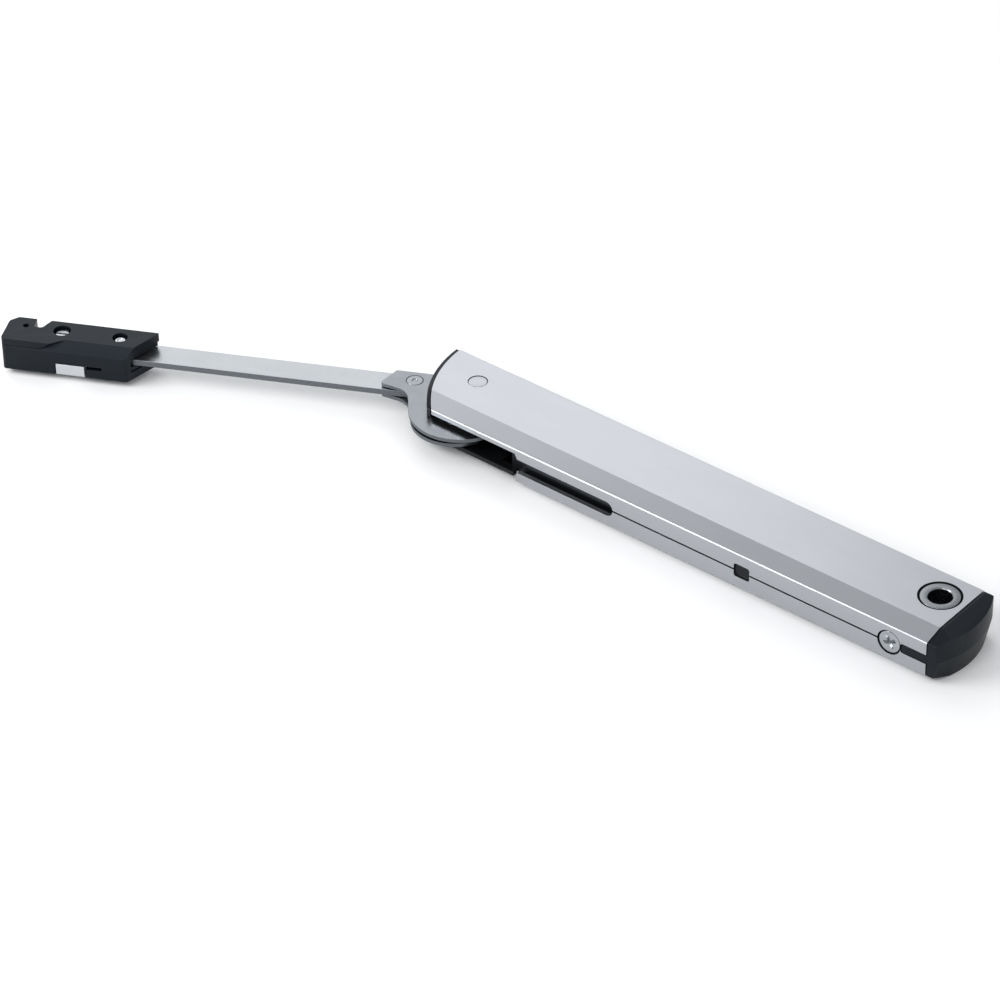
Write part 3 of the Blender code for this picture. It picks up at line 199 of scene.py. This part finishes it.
def helix(name, axis, centre, low, high, radius, wire, turns, per_turn=40, sides=14):
    """A round wire along a helix whose first and last turns lie almost flat.

    At t turns its path is (radius cos 2 pi t, radius sin 2 pi t, height), and the height
    grows slowly in the end turns and evenly between them.  The wire's circle is carried
    along by the path's outward and upward directions."""
    t = np.linspace(0, turns, int(turns * per_turn) + 1)
    eased = END_TURN + END_EASE
    pace = np.interp(t, [0, END_TURN, eased, turns - eased, turns - END_TURN, turns],
                     [END_PACE, END_PACE, 1, 1, END_PACE, END_PACE])
    rise = np.concatenate([[0], np.cumsum((pace[1:] + pace[:-1]) / 2)])
    height = low + wire + (high - low - 2 * wire) * rise / rise[-1]
    angle = 2 * math.pi * t
    out = np.stack([np.cos(angle), np.sin(angle), np.zeros_like(t)], -1)
    path = out * radius + np.stack([np.zeros_like(t), np.zeros_like(t), height], -1)
    ahead = np.gradient(path, axis=0)
    ahead /= np.linalg.norm(ahead, axis=1)[:, None]
    up = np.cross(ahead, out)
    round_wire = np.linspace(0, 2 * math.pi, sides, endpoint=False)[None, :, None]
    circle = out[:, None] * np.cos(round_wire) + up[:, None] * np.sin(round_wire)
    skin = path[:, None] + wire * circle
    # each end closes on a row of equal points, which solid() merges into one
    first, last = (np.broadcast_to(path[i], (1, sides, 3)) for i in (0, -1))
    surface = lay_along(np.concatenate([first, skin, last]), axis, centre)
    return smooth(grid_mesh(name, surface, False, True), angle=50)


# %% [markdown]
# ## Broken edges
# No stamped, cast or moulded edge is perfectly sharp.  It carries a radius of a tenth of
# a millimetre or more, and that thin line of light is what tells the eye how big and how
# hard a piece is.  For the milled and moulded pieces the shape is already right, so each
# is copied, its loose triangles are joined back into whole faces, and a Bevel modifier
# rounds the edges.


# %% Soften the edges of a copy
WELD = 2e-6          # metres within which the corners of two triangles are one corner
SAME_PLANE = 0.4     # degrees up to which two faces count as one


def softened(node, radius, segments=3, angle=32.0, flat=True):
    """A copy of a node as one closed skin, with a rounded edge of the radius given.

    The angle, in degrees, is the least that an edge turns to be rounded.  With flat set, the
    big faces shade flat right up to the rounded edges, and a curved piece goes without."""
    graph = bmesh.new()
    graph.from_mesh(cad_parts[node].data)
    bmesh.ops.remove_doubles(graph, verts=graph.verts, dist=WELD)
    bmesh.ops.dissolve_limit(graph, angle_limit=math.radians(SAME_PLANE),
                             use_dissolve_boundaries=False, verts=graph.verts, edges=graph.edges)
    mesh = bpy.data.meshes.new(node + "_finished")
    graph.to_mesh(mesh)
    graph.free()
    piece = bpy.data.objects.new(node + "_finished", mesh)
    bpy.context.scene.collection.objects.link(piece)
    smooth(piece, angle)
    bevel = piece.modifiers.new("broken_edges", "BEVEL")
    bevel.width = radius * MM
    bevel.segments = segments
    bevel.limit_method = "ANGLE"
    bevel.angle_limit = math.radians(angle)
    bevel.use_clamp_overlap = True
    bevel.harden_normals = flat
    bevel.miter_outer = "MITER_ARC"
    return piece


def settle(piece, body, slot, material, *nodes):
    """Give a piece its material, let it ride on its body and stand for nodes.

    A spring has no body of its own."""
    piece.data.materials.clear()
    piece.data.materials.append(material)
    if body:
        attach(piece, body)
    if nodes:
        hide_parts(*nodes)
    print(piece.name, "rides on", body or "two bodies,", "in", material.name)
    return piece


# %% [markdown]
# ## Materials
# Each finish below starts from what the real one is.  Colours are given as the hex values
# that a paint program shows, and one function turns them to the linear values that the
# shader works with.  Another adds any node, with its settings, and links the sockets
# that it is given.


# %% Colour and node helpers
def linear(hex_colour):
    """sRGB hex to linear: each channel c becomes ((c + 0.055) / 1.055) ** 2.4."""
    channels = [int(hex_colour[i:i + 2], 16) / 255 for i in (1, 3, 5)]
    return tuple(c / 12.92 if c <= 0.04045 else ((c + 0.055) / 1.055) ** 2.4 for c in channels) + (1.0,)


def add_node(tree, kind, inputs=None, **settings):
    """Add a node. An input given as a socket is linked, any other is a plain value."""
    node = tree.nodes.new("ShaderNode" + kind)
    for key, value in settings.items():
        setattr(node, key, value)
    for key, value in (inputs or {}).items():
        if isinstance(value, bpy.types.NodeSocket):
            tree.links.new(value, node.inputs[key])
        else:
            node.inputs[key].default_value = value
    return node


def new_finish(name, colour, metallic, roughness, **sockets):
    """A material with its shader set, and the node that gives places on the object."""
    material = bpy.data.materials.new(name)
    material.use_nodes = True
    tree = material.node_tree
    shader = tree.nodes["Principled BSDF"]
    shader.inputs["Base Color"].default_value = linear(colour)
    shader.inputs["Metallic"].default_value = metallic
    shader.inputs["Roughness"].default_value = roughness
    for key, value in sockets.items():
        shader.inputs[key.replace("_", " ")].default_value = value
    place = add_node(tree, "TexCoord").outputs["Object"]
    print("finish:", name, colour)
    return material, tree, shader, place


def grain(tree, place, size, centre=(0, 0, 0), turn=0.0, detail=3.0):
    """Noise whose features have the given size in mm along X, Y and Z, turned about Z."""
    scaled = add_node(tree, "Mapping", {"Vector": place, "Location": tuple(np.array(centre) * MM),
                                        "Rotation": (0.0, 0.0, turn),
                                        "Scale": tuple(np.array(size) * MM)}, vector_type="TEXTURE")
    return add_node(tree, "TexNoise", {"Vector": scaled.outputs["Vector"], "Scale": 1.0,
                                       "Detail": detail, "Roughness": 0.55}).outputs["Fac"]


def rings(tree, place, centre, axis, pitch):
    """Fine turning marks: circles about an axis, a pitch in millimetres apart."""
    scaled = add_node(tree, "Mapping", {"Vector": place, "Location": tuple(np.array(centre) * MM),
                                        "Scale": (pitch * MM,) * 3}, vector_type="TEXTURE")
    period = math.pi / 10   # of the wave node's rings at a scale of 1
    return add_node(tree, "TexWave", {"Vector": scaled.outputs["Vector"], "Scale": period,
                                      "Distortion": 1.5, "Detail": 2.0, "Detail Scale": 2.0},
                    wave_type="RINGS", rings_direction=axis).outputs["Fac"]


def tint(tree, shader, amount, dark, light):
    """Base colour between two hex colours, by a pattern from 0 to 1."""
    mix = add_node(tree, "Mix", {"Factor": amount}, data_type="RGBA")
    # a mix of colours keeps them in its sockets 6 and 7, and gives its result in socket 2
    mix.inputs[6].default_value = linear(dark)
    mix.inputs[7].default_value = linear(light)
    tree.links.new(mix.outputs[2], shader.inputs["Base Color"])


def vary(tree, shader, amount, low, high):
    """Roughness between two values, by a pattern from 0 to 1."""
    spread = add_node(tree, "MapRange", {"Value": amount, "To Min": low, "To Max": high})
    tree.links.new(spread.outputs["Result"], shader.inputs["Roughness"])


def relief(tree, shader, height, depth_mm, strength):
    """Bump of the given depth, by a pattern from 0 to 1."""
    bump = add_node(tree, "Bump", {"Height": height, "Distance": depth_mm * MM, "Strength": strength})
    tree.links.new(bump.outputs["Normal"], shader.inputs["Normal"])


# %% [markdown]
# ## The body's aluminium
# The two shells are cut from an extruded aluminium bar, drawn with a fine abrasive along
# its length and then anodised.  The drawing leaves hair-thin lines along X, and the clear
# oxide over them turns the mirror to a satin.  Real lines are about 0.05 mm apart, too
# fine to show at this distance, so they are drawn 0.3 mm apart and very shallow.


# %% Satin anodised aluminium
def anodised_aluminium():
    material, tree, shader, place = new_finish("satin_anodised_aluminium", "#ACAFB3", 1.0, 0.30)
    lines = grain(tree, place, (14.0, 0.3, 0.3), detail=4.0)
    clouds = grain(tree, place, (26.0, 9.0, 9.0), detail=2.0)
    tint(tree, shader, clouds, "#AAACB0", "#B0B2B6")
    vary(tree, shader, lines, 0.26, 0.36)
    relief(tree, shader, lines, 0.004, 0.5)
    return material


aluminium = anodised_aluminium()

# %% [markdown]
# ## Steels
# The bar and the lever plates are blanked out of cold-rolled strip and barrel polished.
# The strip's fine grain runs along the bar, and the plates are laid the other way, so
# theirs runs across it.  Bush, pin, rivets and rods come off a lathe, which leaves rings
# about each one's own axis.  A texture mapping centred on that axis draws them.


# %% Rolled strip, with its grain turned about Z
def rolled_steel(name, colour, dark, turn):
    material, tree, shader, place = new_finish(name, colour, 1.0, 0.28)
    lines = grain(tree, place, (9.0, 0.25, 0.25), turn=turn, detail=4.0)
    patches = grain(tree, place, (6.0, 6.0, 6.0), detail=3.0)
    tint(tree, shader, patches, dark, colour)
    vary(tree, shader, lines, 0.22, 0.38)
    relief(tree, shader, lines, 0.006, 0.6)
    return material


bar_steel = rolled_steel("rolled_steel_strip", "#A9ACAF", "#9EA1A4", BAR_TURN)
plate_steel = rolled_steel("blanked_steel_plate", "#8C9093", "#7C8084", BAR_TURN + math.radians(90))


# %% Turned steel, with rings about its own axis
def turned_steel(name, centre, axis, colour="#ADAFB2", dark="#A0A2A5", roughness=0.24, pitch=0.28):
    material, tree, shader, place = new_finish(name, colour, 1.0, roughness)
    marks = rings(tree, place, centre, axis, pitch)
    patches = grain(tree, place, (1.5, 1.5, 1.5))
    tint(tree, shader, patches, dark, colour)
    vary(tree, shader, patches, roughness - 0.05, roughness + 0.08)
    relief(tree, shader, marks, 0.004, 0.5)
    return material


# %% [markdown]
# ## Sheared edges and painted shade
# A press leaves the cut side of a plate rough and grey, because part of it is sheared and
# part is torn.  The faces that stand upright on a plate get a finish of their own, duller
# than the polished flats and darker, partly from the torn steel's own grey and partly as
# painted shade on the sides.


# %% Sheared side of a plate, darkened with painted shade
def sheared_and_shaded_steel():
    # darker than the polished plate: partly the torn edge's own grey, partly painted shade on the
    # upright sides
    material, tree, shader, place = new_finish("sheared_edge_painted_shade", "#6A6D71", 1.0, 0.42)
    tears = grain(tree, place, (0.25, 0.25, 1.2), detail=4.0)
    tint(tree, shader, tears, "#5A5D61", "#767A7E")
    vary(tree, shader, tears, 0.36, 0.52)
    relief(tree, shader, tears, 0.01, 0.6)
    return material


sheared_and_shaded = sheared_and_shaded_steel()
UPRIGHT = 0.5        # a face stands upright if its normal's height is less than this


def sheared_and_shaded_sides(piece):
    """Give the upright faces of a flat plate the sheared finish with painted shade, as a second
    material.
    """
    piece.data.materials.append(sheared_and_shaded)
    # the upright faces take the darker colour, which is partly painted shade
    for face in piece.data.polygons:
        if abs(face.normal.z) < UPRIGHT:
            face.material_index = 1


# %% [markdown]
# ## Plate, hardened steel, wire and brass
# These have no direction in them.  Bright zinc grows in small patches of tone, a hardened
# gear is darker and duller from its quench, and spring wire keeps a film of oil.  All are
# one recipe with other numbers: patches a few millimetres wide, over a finer grit that
# breaks up the reflections.


# %% Zinc plate, case-hardened steel, spring wire and brass
def plated(name, colour, dark, roughness, grit, depth):
    """A metal with no direction in it: small patches of tone over a fine grit."""
    material, tree, shader, place = new_finish(name, colour, 1.0, roughness)
    patches = grain(tree, place, (2.5, 2.5, 2.5))
    fine = grain(tree, place, (grit, grit, grit), detail=2.0)
    tint(tree, shader, patches, dark, colour)
    vary(tree, shader, patches, roughness - 0.05, roughness + 0.1)
    relief(tree, shader, fine, depth, 0.5)
    return material


zinc = plated("bright_zinc_plate", "#B4B7BA", "#9EA1A5", roughness=0.20, grit=0.3, depth=0.003)
hardened = plated("case_hardened_steel", "#6C6D70", "#58595C", roughness=0.34, grit=0.25, depth=0.005)
wire_steel = plated("oiled_spring_wire", "#85878B", "#6E7074", roughness=0.26, grit=0.2, depth=0.003)
brass = plated("free_cutting_brass", "#D9B56A", "#C79F52", roughness=0.24, grit=0.25, depth=0.003)

# %% [markdown]
# ## Plastics and rubber
# The bracket and the cap are glass-filled nylon: black, tough, and moulded in a
# spark-eroded tool, which gives them a fine even leather of bumps and a soft sheen.  The
# small sliding pieces are acetal, smoother and a little glossier.  The seals are nitrile
# rubber, which has almost no gloss at all.


# %% Moulded black plastics
def moulded(name, colour, light, roughness, grit, depth, ior, gloss):
    """Black plastic: gloss is the share of the smooth surface's reflection that is left.

    The flow marks are about 5 mm long and lie in the bar's direction."""
    material, tree, shader, place = new_finish(name, colour, 0.0, roughness, IOR=ior,
                                               Specular_IOR_Level=gloss / 2,
                                               Specular_Tint=linear("#DDE6F2"))
    fine = grain(tree, place, (grit, grit, grit), detail=2.0)
    flow = grain(tree, place, (5.0, 2.0, 2.0), turn=BAR_TURN)
    tint(tree, shader, flow, colour, light)
    vary(tree, shader, fine, roughness - 0.06, roughness + 0.08)
    relief(tree, shader, fine, depth, 0.6)
    return material


nylon = moulded("glass_filled_nylon", "#090E13", "#0E141A", roughness=0.40, grit=0.45, depth=0.012,
                ior=1.53, gloss=0.42)
cap_nylon = moulded("satin_moulded_nylon", "#0A0F13", "#0F1418", roughness=0.40, grit=0.4, depth=0.008,
                    ior=1.53, gloss=0.35)
acetal = moulded("black_acetal", "#0C0D0F", "#121416", roughness=0.34, grit=0.5, depth=0.004,
                 ior=1.48, gloss=0.5)
rubber = moulded("nitrile_rubber", "#0B0B0C", "#101012", roughness=0.75, grit=0.3, depth=0.01,
                 ior=1.50, gloss=0.4)

# %% [markdown]
# ## The body
# The shells, liners, cap and clip have the right shape already, so they only get their
# broken edges.  The extrusion's edges are crisp, so its radius is small.

# %% Shells, liners, cap and clip
for node in ("upper_shell", "lower_shell"):
    settle(softened(node, 0.18, angle=12), "housing", "shell", aluminium, node)
for node in ("upper_liner", "lower_liner"):
    settle(softened(node, 0.15, flat=False), "housing", "black_plastic", acetal, node)
settle(softened("end_cap", 0.3, flat=False), "housing", "black_plastic", cap_nylon, "end_cap")
settle(softened("window_clip", 0.2), "housing", "black_plastic", acetal, "window_clip")

# %% [markdown]
# ## The bush, its seals and the pin
# The stud passes through a turned steel bush, whose face is faced flat and whose bore has
# a small chamfer.  A rubber ring fills the gap between it and the shell.  The pin at the
# other end has a flat polished face with a small rounded edge, just under the shell's.

# %% Bush, seals and pin
low, high = box_mm("pivot_bush")
flange = (high[0] - low[0]) / 2
BORE = 3.6                               # inner radius
RIM = 5.9                                # outer radius where it shows in the shell
FLANGE_LOW, FLANGE_HIGH = 2.2, 13.0      # faces of the flange between the shells
CHAMFER = 0.3
bush_half = [(BORE, low[2] + CHAMFER), (BORE, high[2] - CHAMFER), (BORE + CHAMFER, high[2], 0.1),
             (RIM, high[2], 0.25), (RIM, FLANGE_HIGH), (flange, FLANGE_HIGH, 0.2),
             (flange, FLANGE_LOW, 0.2), (RIM, FLANGE_LOW), (RIM, low[2], 0.25),
             (BORE + CHAMFER, low[2], 0.1)]
bush = lathe("pivot_bush_finished", bush_half, BUSH, closed=True, sides=128)
settle(bush, "bush", "satin_steel", turned_steel("turned_steel_bush", BUSH, "Z", "#8A8D90", "#7D8083"),
       "pivot_bush")

SEAL_WALL = 0.4
for node in ("upper_bush_seal", "lower_bush_seal"):
    low, high = box_mm(node)
    outer = (high[0] - low[0]) / 2
    inner = outer - SEAL_WALL
    seal = [(inner, low[2], 0.1), (outer, low[2], 0.1), (outer, high[2], 0.2), (inner, high[2], 0.2)]
    settle(lathe(node + "_finished", seal, BUSH, closed=True), "housing", "black_rubber", rubber, node)

low, high = box_mm("lever_pin")
radius = (high[0] - low[0]) / 2
pin = [(0, low[2]), (radius, low[2], 0.35), (radius, high[2], 0.35), (0, high[2])]
settle(lathe("lever_pin_finished", pin, PIN), "housing", "bright_steel",
       turned_steel("ground_steel_pin", PIN, "Z", "#ABADB0", "#A2A4A8", 0.26), "lever_pin")

# %% [markdown]
# ## The clamp screw
# A countersunk screw with a cross recess closes the body beside the bush.  A lathe could
# turn its head but not the cross, so the screw keeps its own shape and gets fine edges.
# The insert that it bites into, and the other sleeves and rods, are plain turned pieces.

# %% Screw and insert
settle(softened("clamp_screw", 0.03, segments=1, angle=40, flat=False), "housing", "bright_steel", zinc,
       "clamp_screw")


def tube(node, axis, inner, edge=0.15):
    """A plain turned sleeve as long and as wide as its node, with the bore given."""
    low, high = box_mm(node)
    along = "XYZ".index(axis)
    across = (along + 1) % 3
    outer = (high[across] - low[across]) / 2
    sleeve = [(inner, low[along], edge), (outer, low[along], edge), (outer, high[along], edge),
              (inner, high[along], edge)]
    return lathe(node + "_finished", sleeve, middle(node), axis, closed=True)


def rod(node, axis, edge=0.25):
    """A plain turned bar as long and as wide as its node."""
    low, high = box_mm(node)
    along = "XYZ".index(axis)
    across = (along + 1) % 3
    radius = (high[across] - low[across]) / 2
    bar = [(0, low[along]), (radius, low[along], edge), (radius, high[along], edge), (0, high[along])]
    return lathe(node + "_finished", bar, middle(node), axis)


THREAD_BORE = 2.1    # inner radius of the insert
settle(tube("screw_insert", "Y", THREAD_BORE), "housing", "brass", brass, "screw_insert")

# %% [markdown]
# ## Spring and damper
# Inside the body lie a spring and an oil damper.  The spring's end turns lie almost flat,
# so that they bear on their seats.  The damper is a tube with rounded ends, closed by a
# gland and a plug, and a piston slides in it on a rod.

# %% Closing spring
low, high = box_mm("closing_spring")
WIRE = 0.6
TURNS = 12
coil_radius = (high[1] - low[1]) / 2 - WIRE
spring = helix("closing_spring_finished", "X", middle("closing_spring"), low[0], high[0], coil_radius,
               WIRE, TURNS)
settle(spring, None, "spring_steel", wire_steel, "closing_spring")
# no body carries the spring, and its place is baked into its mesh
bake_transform(spring)

# %% Damper
CYLINDER_BORE = 4.3  # inner radius of the oil cylinder
ROD_BORE = 1.35      # inner radius of the gland and the piston, round the rod
tube_place = middle("damper_cylinder")
tube_steel = turned_steel("drawn_steel_tube", tube_place, "X", pitch=0.5)
settle(tube("damper_cylinder", "X", CYLINDER_BORE, 0.35), "housing", "satin_steel", tube_steel,
       "damper_cylinder")
settle(tube("damper_gland", "X", ROD_BORE), "housing", "black_plastic", acetal, "damper_gland")
settle(tube("damper_piston", "X", ROD_BORE), "slider", "brass", brass, "damper_piston")
settle(rod("damper_rod", "X"), "slider", "satin_steel", tube_steel, "damper_rod")
settle(rod("spring_guide", "X", 0.5), "slider", "satin_steel",
       turned_steel("turned_guide_rod", middle("spring_guide"), "X"), "spring_guide")
settle(rod("rack_pin", "Z", 0.15), "slider", "satin_steel",
       turned_steel("turned_rack_pin", middle("rack_pin"), "Z"), "rack_pin")
settle(softened("damper_plug", 0.2), "housing", "satin_steel", tube_steel, "damper_plug")
settle(softened("spring_seat", 0.35), "housing", "black_plastic", acetal, "spring_seat")
settle(softened("anchor_block", 0.35), "housing", "black_plastic", acetal, "anchor_block")
settle(softened("crosshead", 0.25), "slider", "satin_steel", plate_steel, "crosshead")
settle(softened("rack", 0.12), "slider", "hard_steel", hardened, "rack")

# %% [markdown]
# ## Lever and bar
# The lever is a pair of blanked plates.  A press leaves a rolled edge on the side where
# the punch goes in, and that edge is what catches the light along the lever's elbow.

# %% Lever plates, pinion and bar
for node in ("lever_upper_plate", "lever_lower_plate"):
    sheared_and_shaded_sides(settle(softened(node, 0.22), "lever", "satin_steel", plate_steel, node))
settle(softened("drive_pinion", 0.12), "lever", "hard_steel", hardened, "drive_pinion")
settle(softened("lever_spacer", 0.12), "lever", "hard_steel", hardened, "lever_spacer")
sheared_and_shaded_sides(settle(softened("link_bar", 0.28), "link", "satin_steel", bar_steel, "link_bar"))


# %% [markdown]
# ## Rivets
# A rivet's head is spun down on to the plate by a tool that leaves a shallow dimple in its
# middle.  The whole rivet is one profile, turned round its axis.

# %% Rivets
HEAD_THICK = 0.45
SHANK = 1.5          # radius of the shank
DIMPLE = 0.7         # radius of the dimple's nearly flat floor


def riveted(node, body, slot, colour, dark):
    """A shank with a head at both ends, sunk in its plate, and a dimple in the top one."""
    low, high = box_mm(node)
    head = (high[0] - low[0]) / 2
    bottom, top = low[2], high[2]
    profile = [(0, bottom), (head, bottom, 0.3), (head, bottom + HEAD_THICK),
               (SHANK, bottom + HEAD_THICK), (SHANK, top - HEAD_THICK), (head, top - HEAD_THICK),
               (head, top, 0.3), (DIMPLE + 0.25, top, 0.25), (DIMPLE, top - 0.25, 0.15),
               (0, top - 0.3)]
    centre = middle(node)
    finish = turned_steel(node + "_steel", centre, "Z", colour, dark)
    settle(lathe(node + "_finished", profile, centre, sides=64), body, slot, finish, node)


riveted("lever_rivet", "lever", "satin_steel", "#93969A", "#83868A")
riveted("bracket_rivet", "bracket", "bright_steel", "#C8CACC", "#B6B8BA")

# %% [markdown]
# ## The bracket
# The moulded bracket has softer edges than the plates and the shells, because plastic does
# not fill a sharp corner in its tool.  The release tab under it is pressed from thin sheet.

# %% Bracket, pads, screw and latch
settle(softened("bracket_body", 0.32), "bracket", "black_plastic", nylon, "bracket_body")
for node in ("bracket_upper_pad", "bracket_lower_pad"):
    settle(softened(node, 0.12), "bracket", "black_plastic", acetal, node)
settle(softened("bracket_set_screw", 0.15), "bracket", "bright_steel", zinc, "bracket_set_screw")
settle(softened("latch_plate", 0.2), "latch", "bright_steel",
       plated("nickel_plated_sheet", "#CFD1D4", "#C3C6C9", 0.28, 0.4, 0.0015), "latch_plate")


# %% [markdown]
# ## The latch spring
# A small spring pushes the release tab back.  It lies across the bracket, which is turned
# with the bar, so a box along X and Y is longer than the spring.  Its length is measured
# along its own direction instead.  The coil is drawn along Y about the origin, then turned
# by the bar's angle and moved to its place.

# %% Latch spring
LATCH_COIL = 1.1
LATCH_WIRE = 0.22
LATCH_TURNS = 4
plain_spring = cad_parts["latch_spring"].data
corners = np.empty(3 * len(plain_spring.vertices), np.float32)
plain_spring.vertices.foreach_get("co", corners)
across_bar = np.array([-math.sin(BAR_TURN), math.cos(BAR_TURN), 0.0])
length = float(np.ptp(corners.reshape(-1, 3) @ across_bar)) / MM
print("latch spring:", round(length, 2), "mm long")
latch_spring = helix("latch_spring_finished", "Y", (0, 0, 0), -length / 2, length / 2, LATCH_COIL,
                     LATCH_WIRE, LATCH_TURNS, per_turn=32, sides=10)
spring_centre = Vector(middle("latch_spring") * MM)
latch_spring.data.transform(Matrix.Translation(spring_centre) @ Matrix.Rotation(BAR_TURN, 4, "Z"))
settle(latch_spring, None, "spring_steel", wire_steel, "latch_spring")
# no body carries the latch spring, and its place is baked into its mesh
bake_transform(latch_spring)

# %% [markdown]
# ## Floor and sky
# Polished metal shows its surroundings more than itself, so they are chosen for what each
# face mirrors.  The floor is plain pale paper.  The sky is bright at the sides and darker
# overhead, and the body's facet mirrors that darker part, which parts it from the top face.

# %% Floor
FLOOR_SIZE = 6.0
FLOOR_GAP = 0.0001   # the floor lies this far below the object, so no faces coincide
half = FLOOR_SIZE / 2
floor_mesh = bpy.data.meshes.new("floor")
floor_mesh.from_pydata([(-half, -half, 0), (half, -half, 0), (half, half, 0), (-half, half, 0)], [],
                       [(0, 1, 2, 3)])
floor_mesh.transform(Matrix.Translation((0, 0, cad_box[0][2] - FLOOR_GAP)))
floor = bpy.data.objects.new("floor", floor_mesh)
bpy.context.scene.collection.objects.link(floor)
paper, tree, shader, place = new_finish("matt_paper_floor", "#FAFAFA", 0.0, 0.9)
fibres = grain(tree, place, (8.0, 8.0, 8.0))
tint(tree, shader, fibres, "#F8F8F8", "#FBFBFB")
floor_mesh.materials.append(paper)

# %% Sky
SKY_LOW, SKY_HIGH = 0.45, 0.92           # sines of the elevations between which it dims
SKY_SIDE, SKY_TOP = 0.92, 0.62
world = bpy.data.worlds.new("soft_sky")
world.use_nodes = True
world.node_tree.nodes["Background"].inputs["Color"].default_value = linear("#F6F8FB")
sky_place = add_node(world.node_tree, "TexCoord").outputs["Generated"]
sky_height = add_node(world.node_tree, "SeparateXYZ", {"Vector": sky_place}).outputs["Z"]
sky_light = add_node(world.node_tree, "MapRange", {"Value": sky_height, "From Min": SKY_LOW,
                                                   "From Max": SKY_HIGH, "To Min": SKY_SIDE,
                                                   "To Max": SKY_TOP}).outputs["Result"]
world.node_tree.links.new(sky_light, world.node_tree.nodes["Background"].inputs["Strength"])
bpy.context.scene.world = world


# %% [markdown]
# ## Light panels
# Four soft boxes do the rest.  The back panel stands behind the object, where the top face
# mirrors it.  The edge panel lights the long side and the rounded edge above it, the
# chamfer panel shines on the chamfers from high in front, and the floor panel, almost
# overhead, keeps the paper white.  Each one is a rectangle that gives off an even light,
# and it is placed by the direction from which it shines.


# %% Light panels
def direction(azimuth, elevation):
    """From the object: azimuth 0 is towards -Y and 90 towards +X, in degrees."""
    a, e = math.radians(azimuth), math.radians(elevation)
    return Vector((math.sin(a) * math.cos(e), -math.cos(a) * math.cos(e), math.sin(e)))


AIM = Vector((-0.0482, -0.0345, 0.0076))   # metres; the camera and the panels face this point


def panel(name, azimuth, elevation, distance, width, height, radiance):
    """A soft box that faces the object, with its distance, width and height in metres.

    Its power is radiance times pi times its area."""
    light = bpy.data.lights.new(name, "AREA")
    light.shape = "RECTANGLE"
    light.size = width
    light.size_y = height
    light.energy = radiance * math.pi * width * height
    lamp = bpy.data.objects.new(name, light)
    away = direction(azimuth, elevation)
    lamp.location = AIM + away * distance
    lamp.rotation_euler = away.to_track_quat("Z", "Y").to_euler()
    bpy.context.scene.collection.objects.link(lamp)
    print(name, round(light.energy, 3), "W")


panel("back_panel", azimuth=234, elevation=38, distance=0.9, width=0.78, height=0.5, radiance=1.05)
panel("edge_panel", azimuth=-41, elevation=38, distance=0.9, width=0.5, height=0.34, radiance=8.0)
panel("chamfer_panel", azimuth=10, elevation=51, distance=1.0, width=0.36, height=0.26, radiance=3.0)
panel("floor_panel", azimuth=20, elevation=85, distance=1.4, width=0.3, height=0.3, radiance=2.6)

# %% [markdown]
# ## Camera
# A long lens from a good distance keeps the body's edges nearly parallel.  The camera
# looks down on the body's long side at about 37 degrees, and it is rolled by a degree.
# The Standard view transform keeps the paper white and the metals as light as they are.

# %% Camera
CAMERA_AZIMUTH = 39.89
CAMERA_ELEVATION = 36.72
CAMERA_ROLL = -0.94
CAMERA_DISTANCE = 1.3395                 # metres
CAMERA_LENS = 163.55                     # millimetres, as is the sensor's width
SENSOR_WIDTH = 36.0
camera_data = bpy.data.cameras.new("camera")
camera_data.lens = CAMERA_LENS
camera_data.sensor_width = SENSOR_WIDTH
camera_data.clip_start = 0.05
camera = bpy.data.objects.new("camera", camera_data)
away = direction(CAMERA_AZIMUTH, CAMERA_ELEVATION)
upright = away.to_track_quat("Z", "Y").to_matrix().to_4x4()
camera.matrix_world = (Matrix.Translation(AIM + away * CAMERA_DISTANCE) @ upright
                       @ Matrix.Rotation(math.radians(CAMERA_ROLL), 4, "Z"))
bpy.context.scene.collection.objects.link(camera)
bpy.context.scene.camera = camera
bpy.context.scene.view_settings.view_transform = "Standard"

# %% [markdown]
# ## Finish
# The frame's box is printed.

# %% Size of the frame
print("frame box", cad_box)
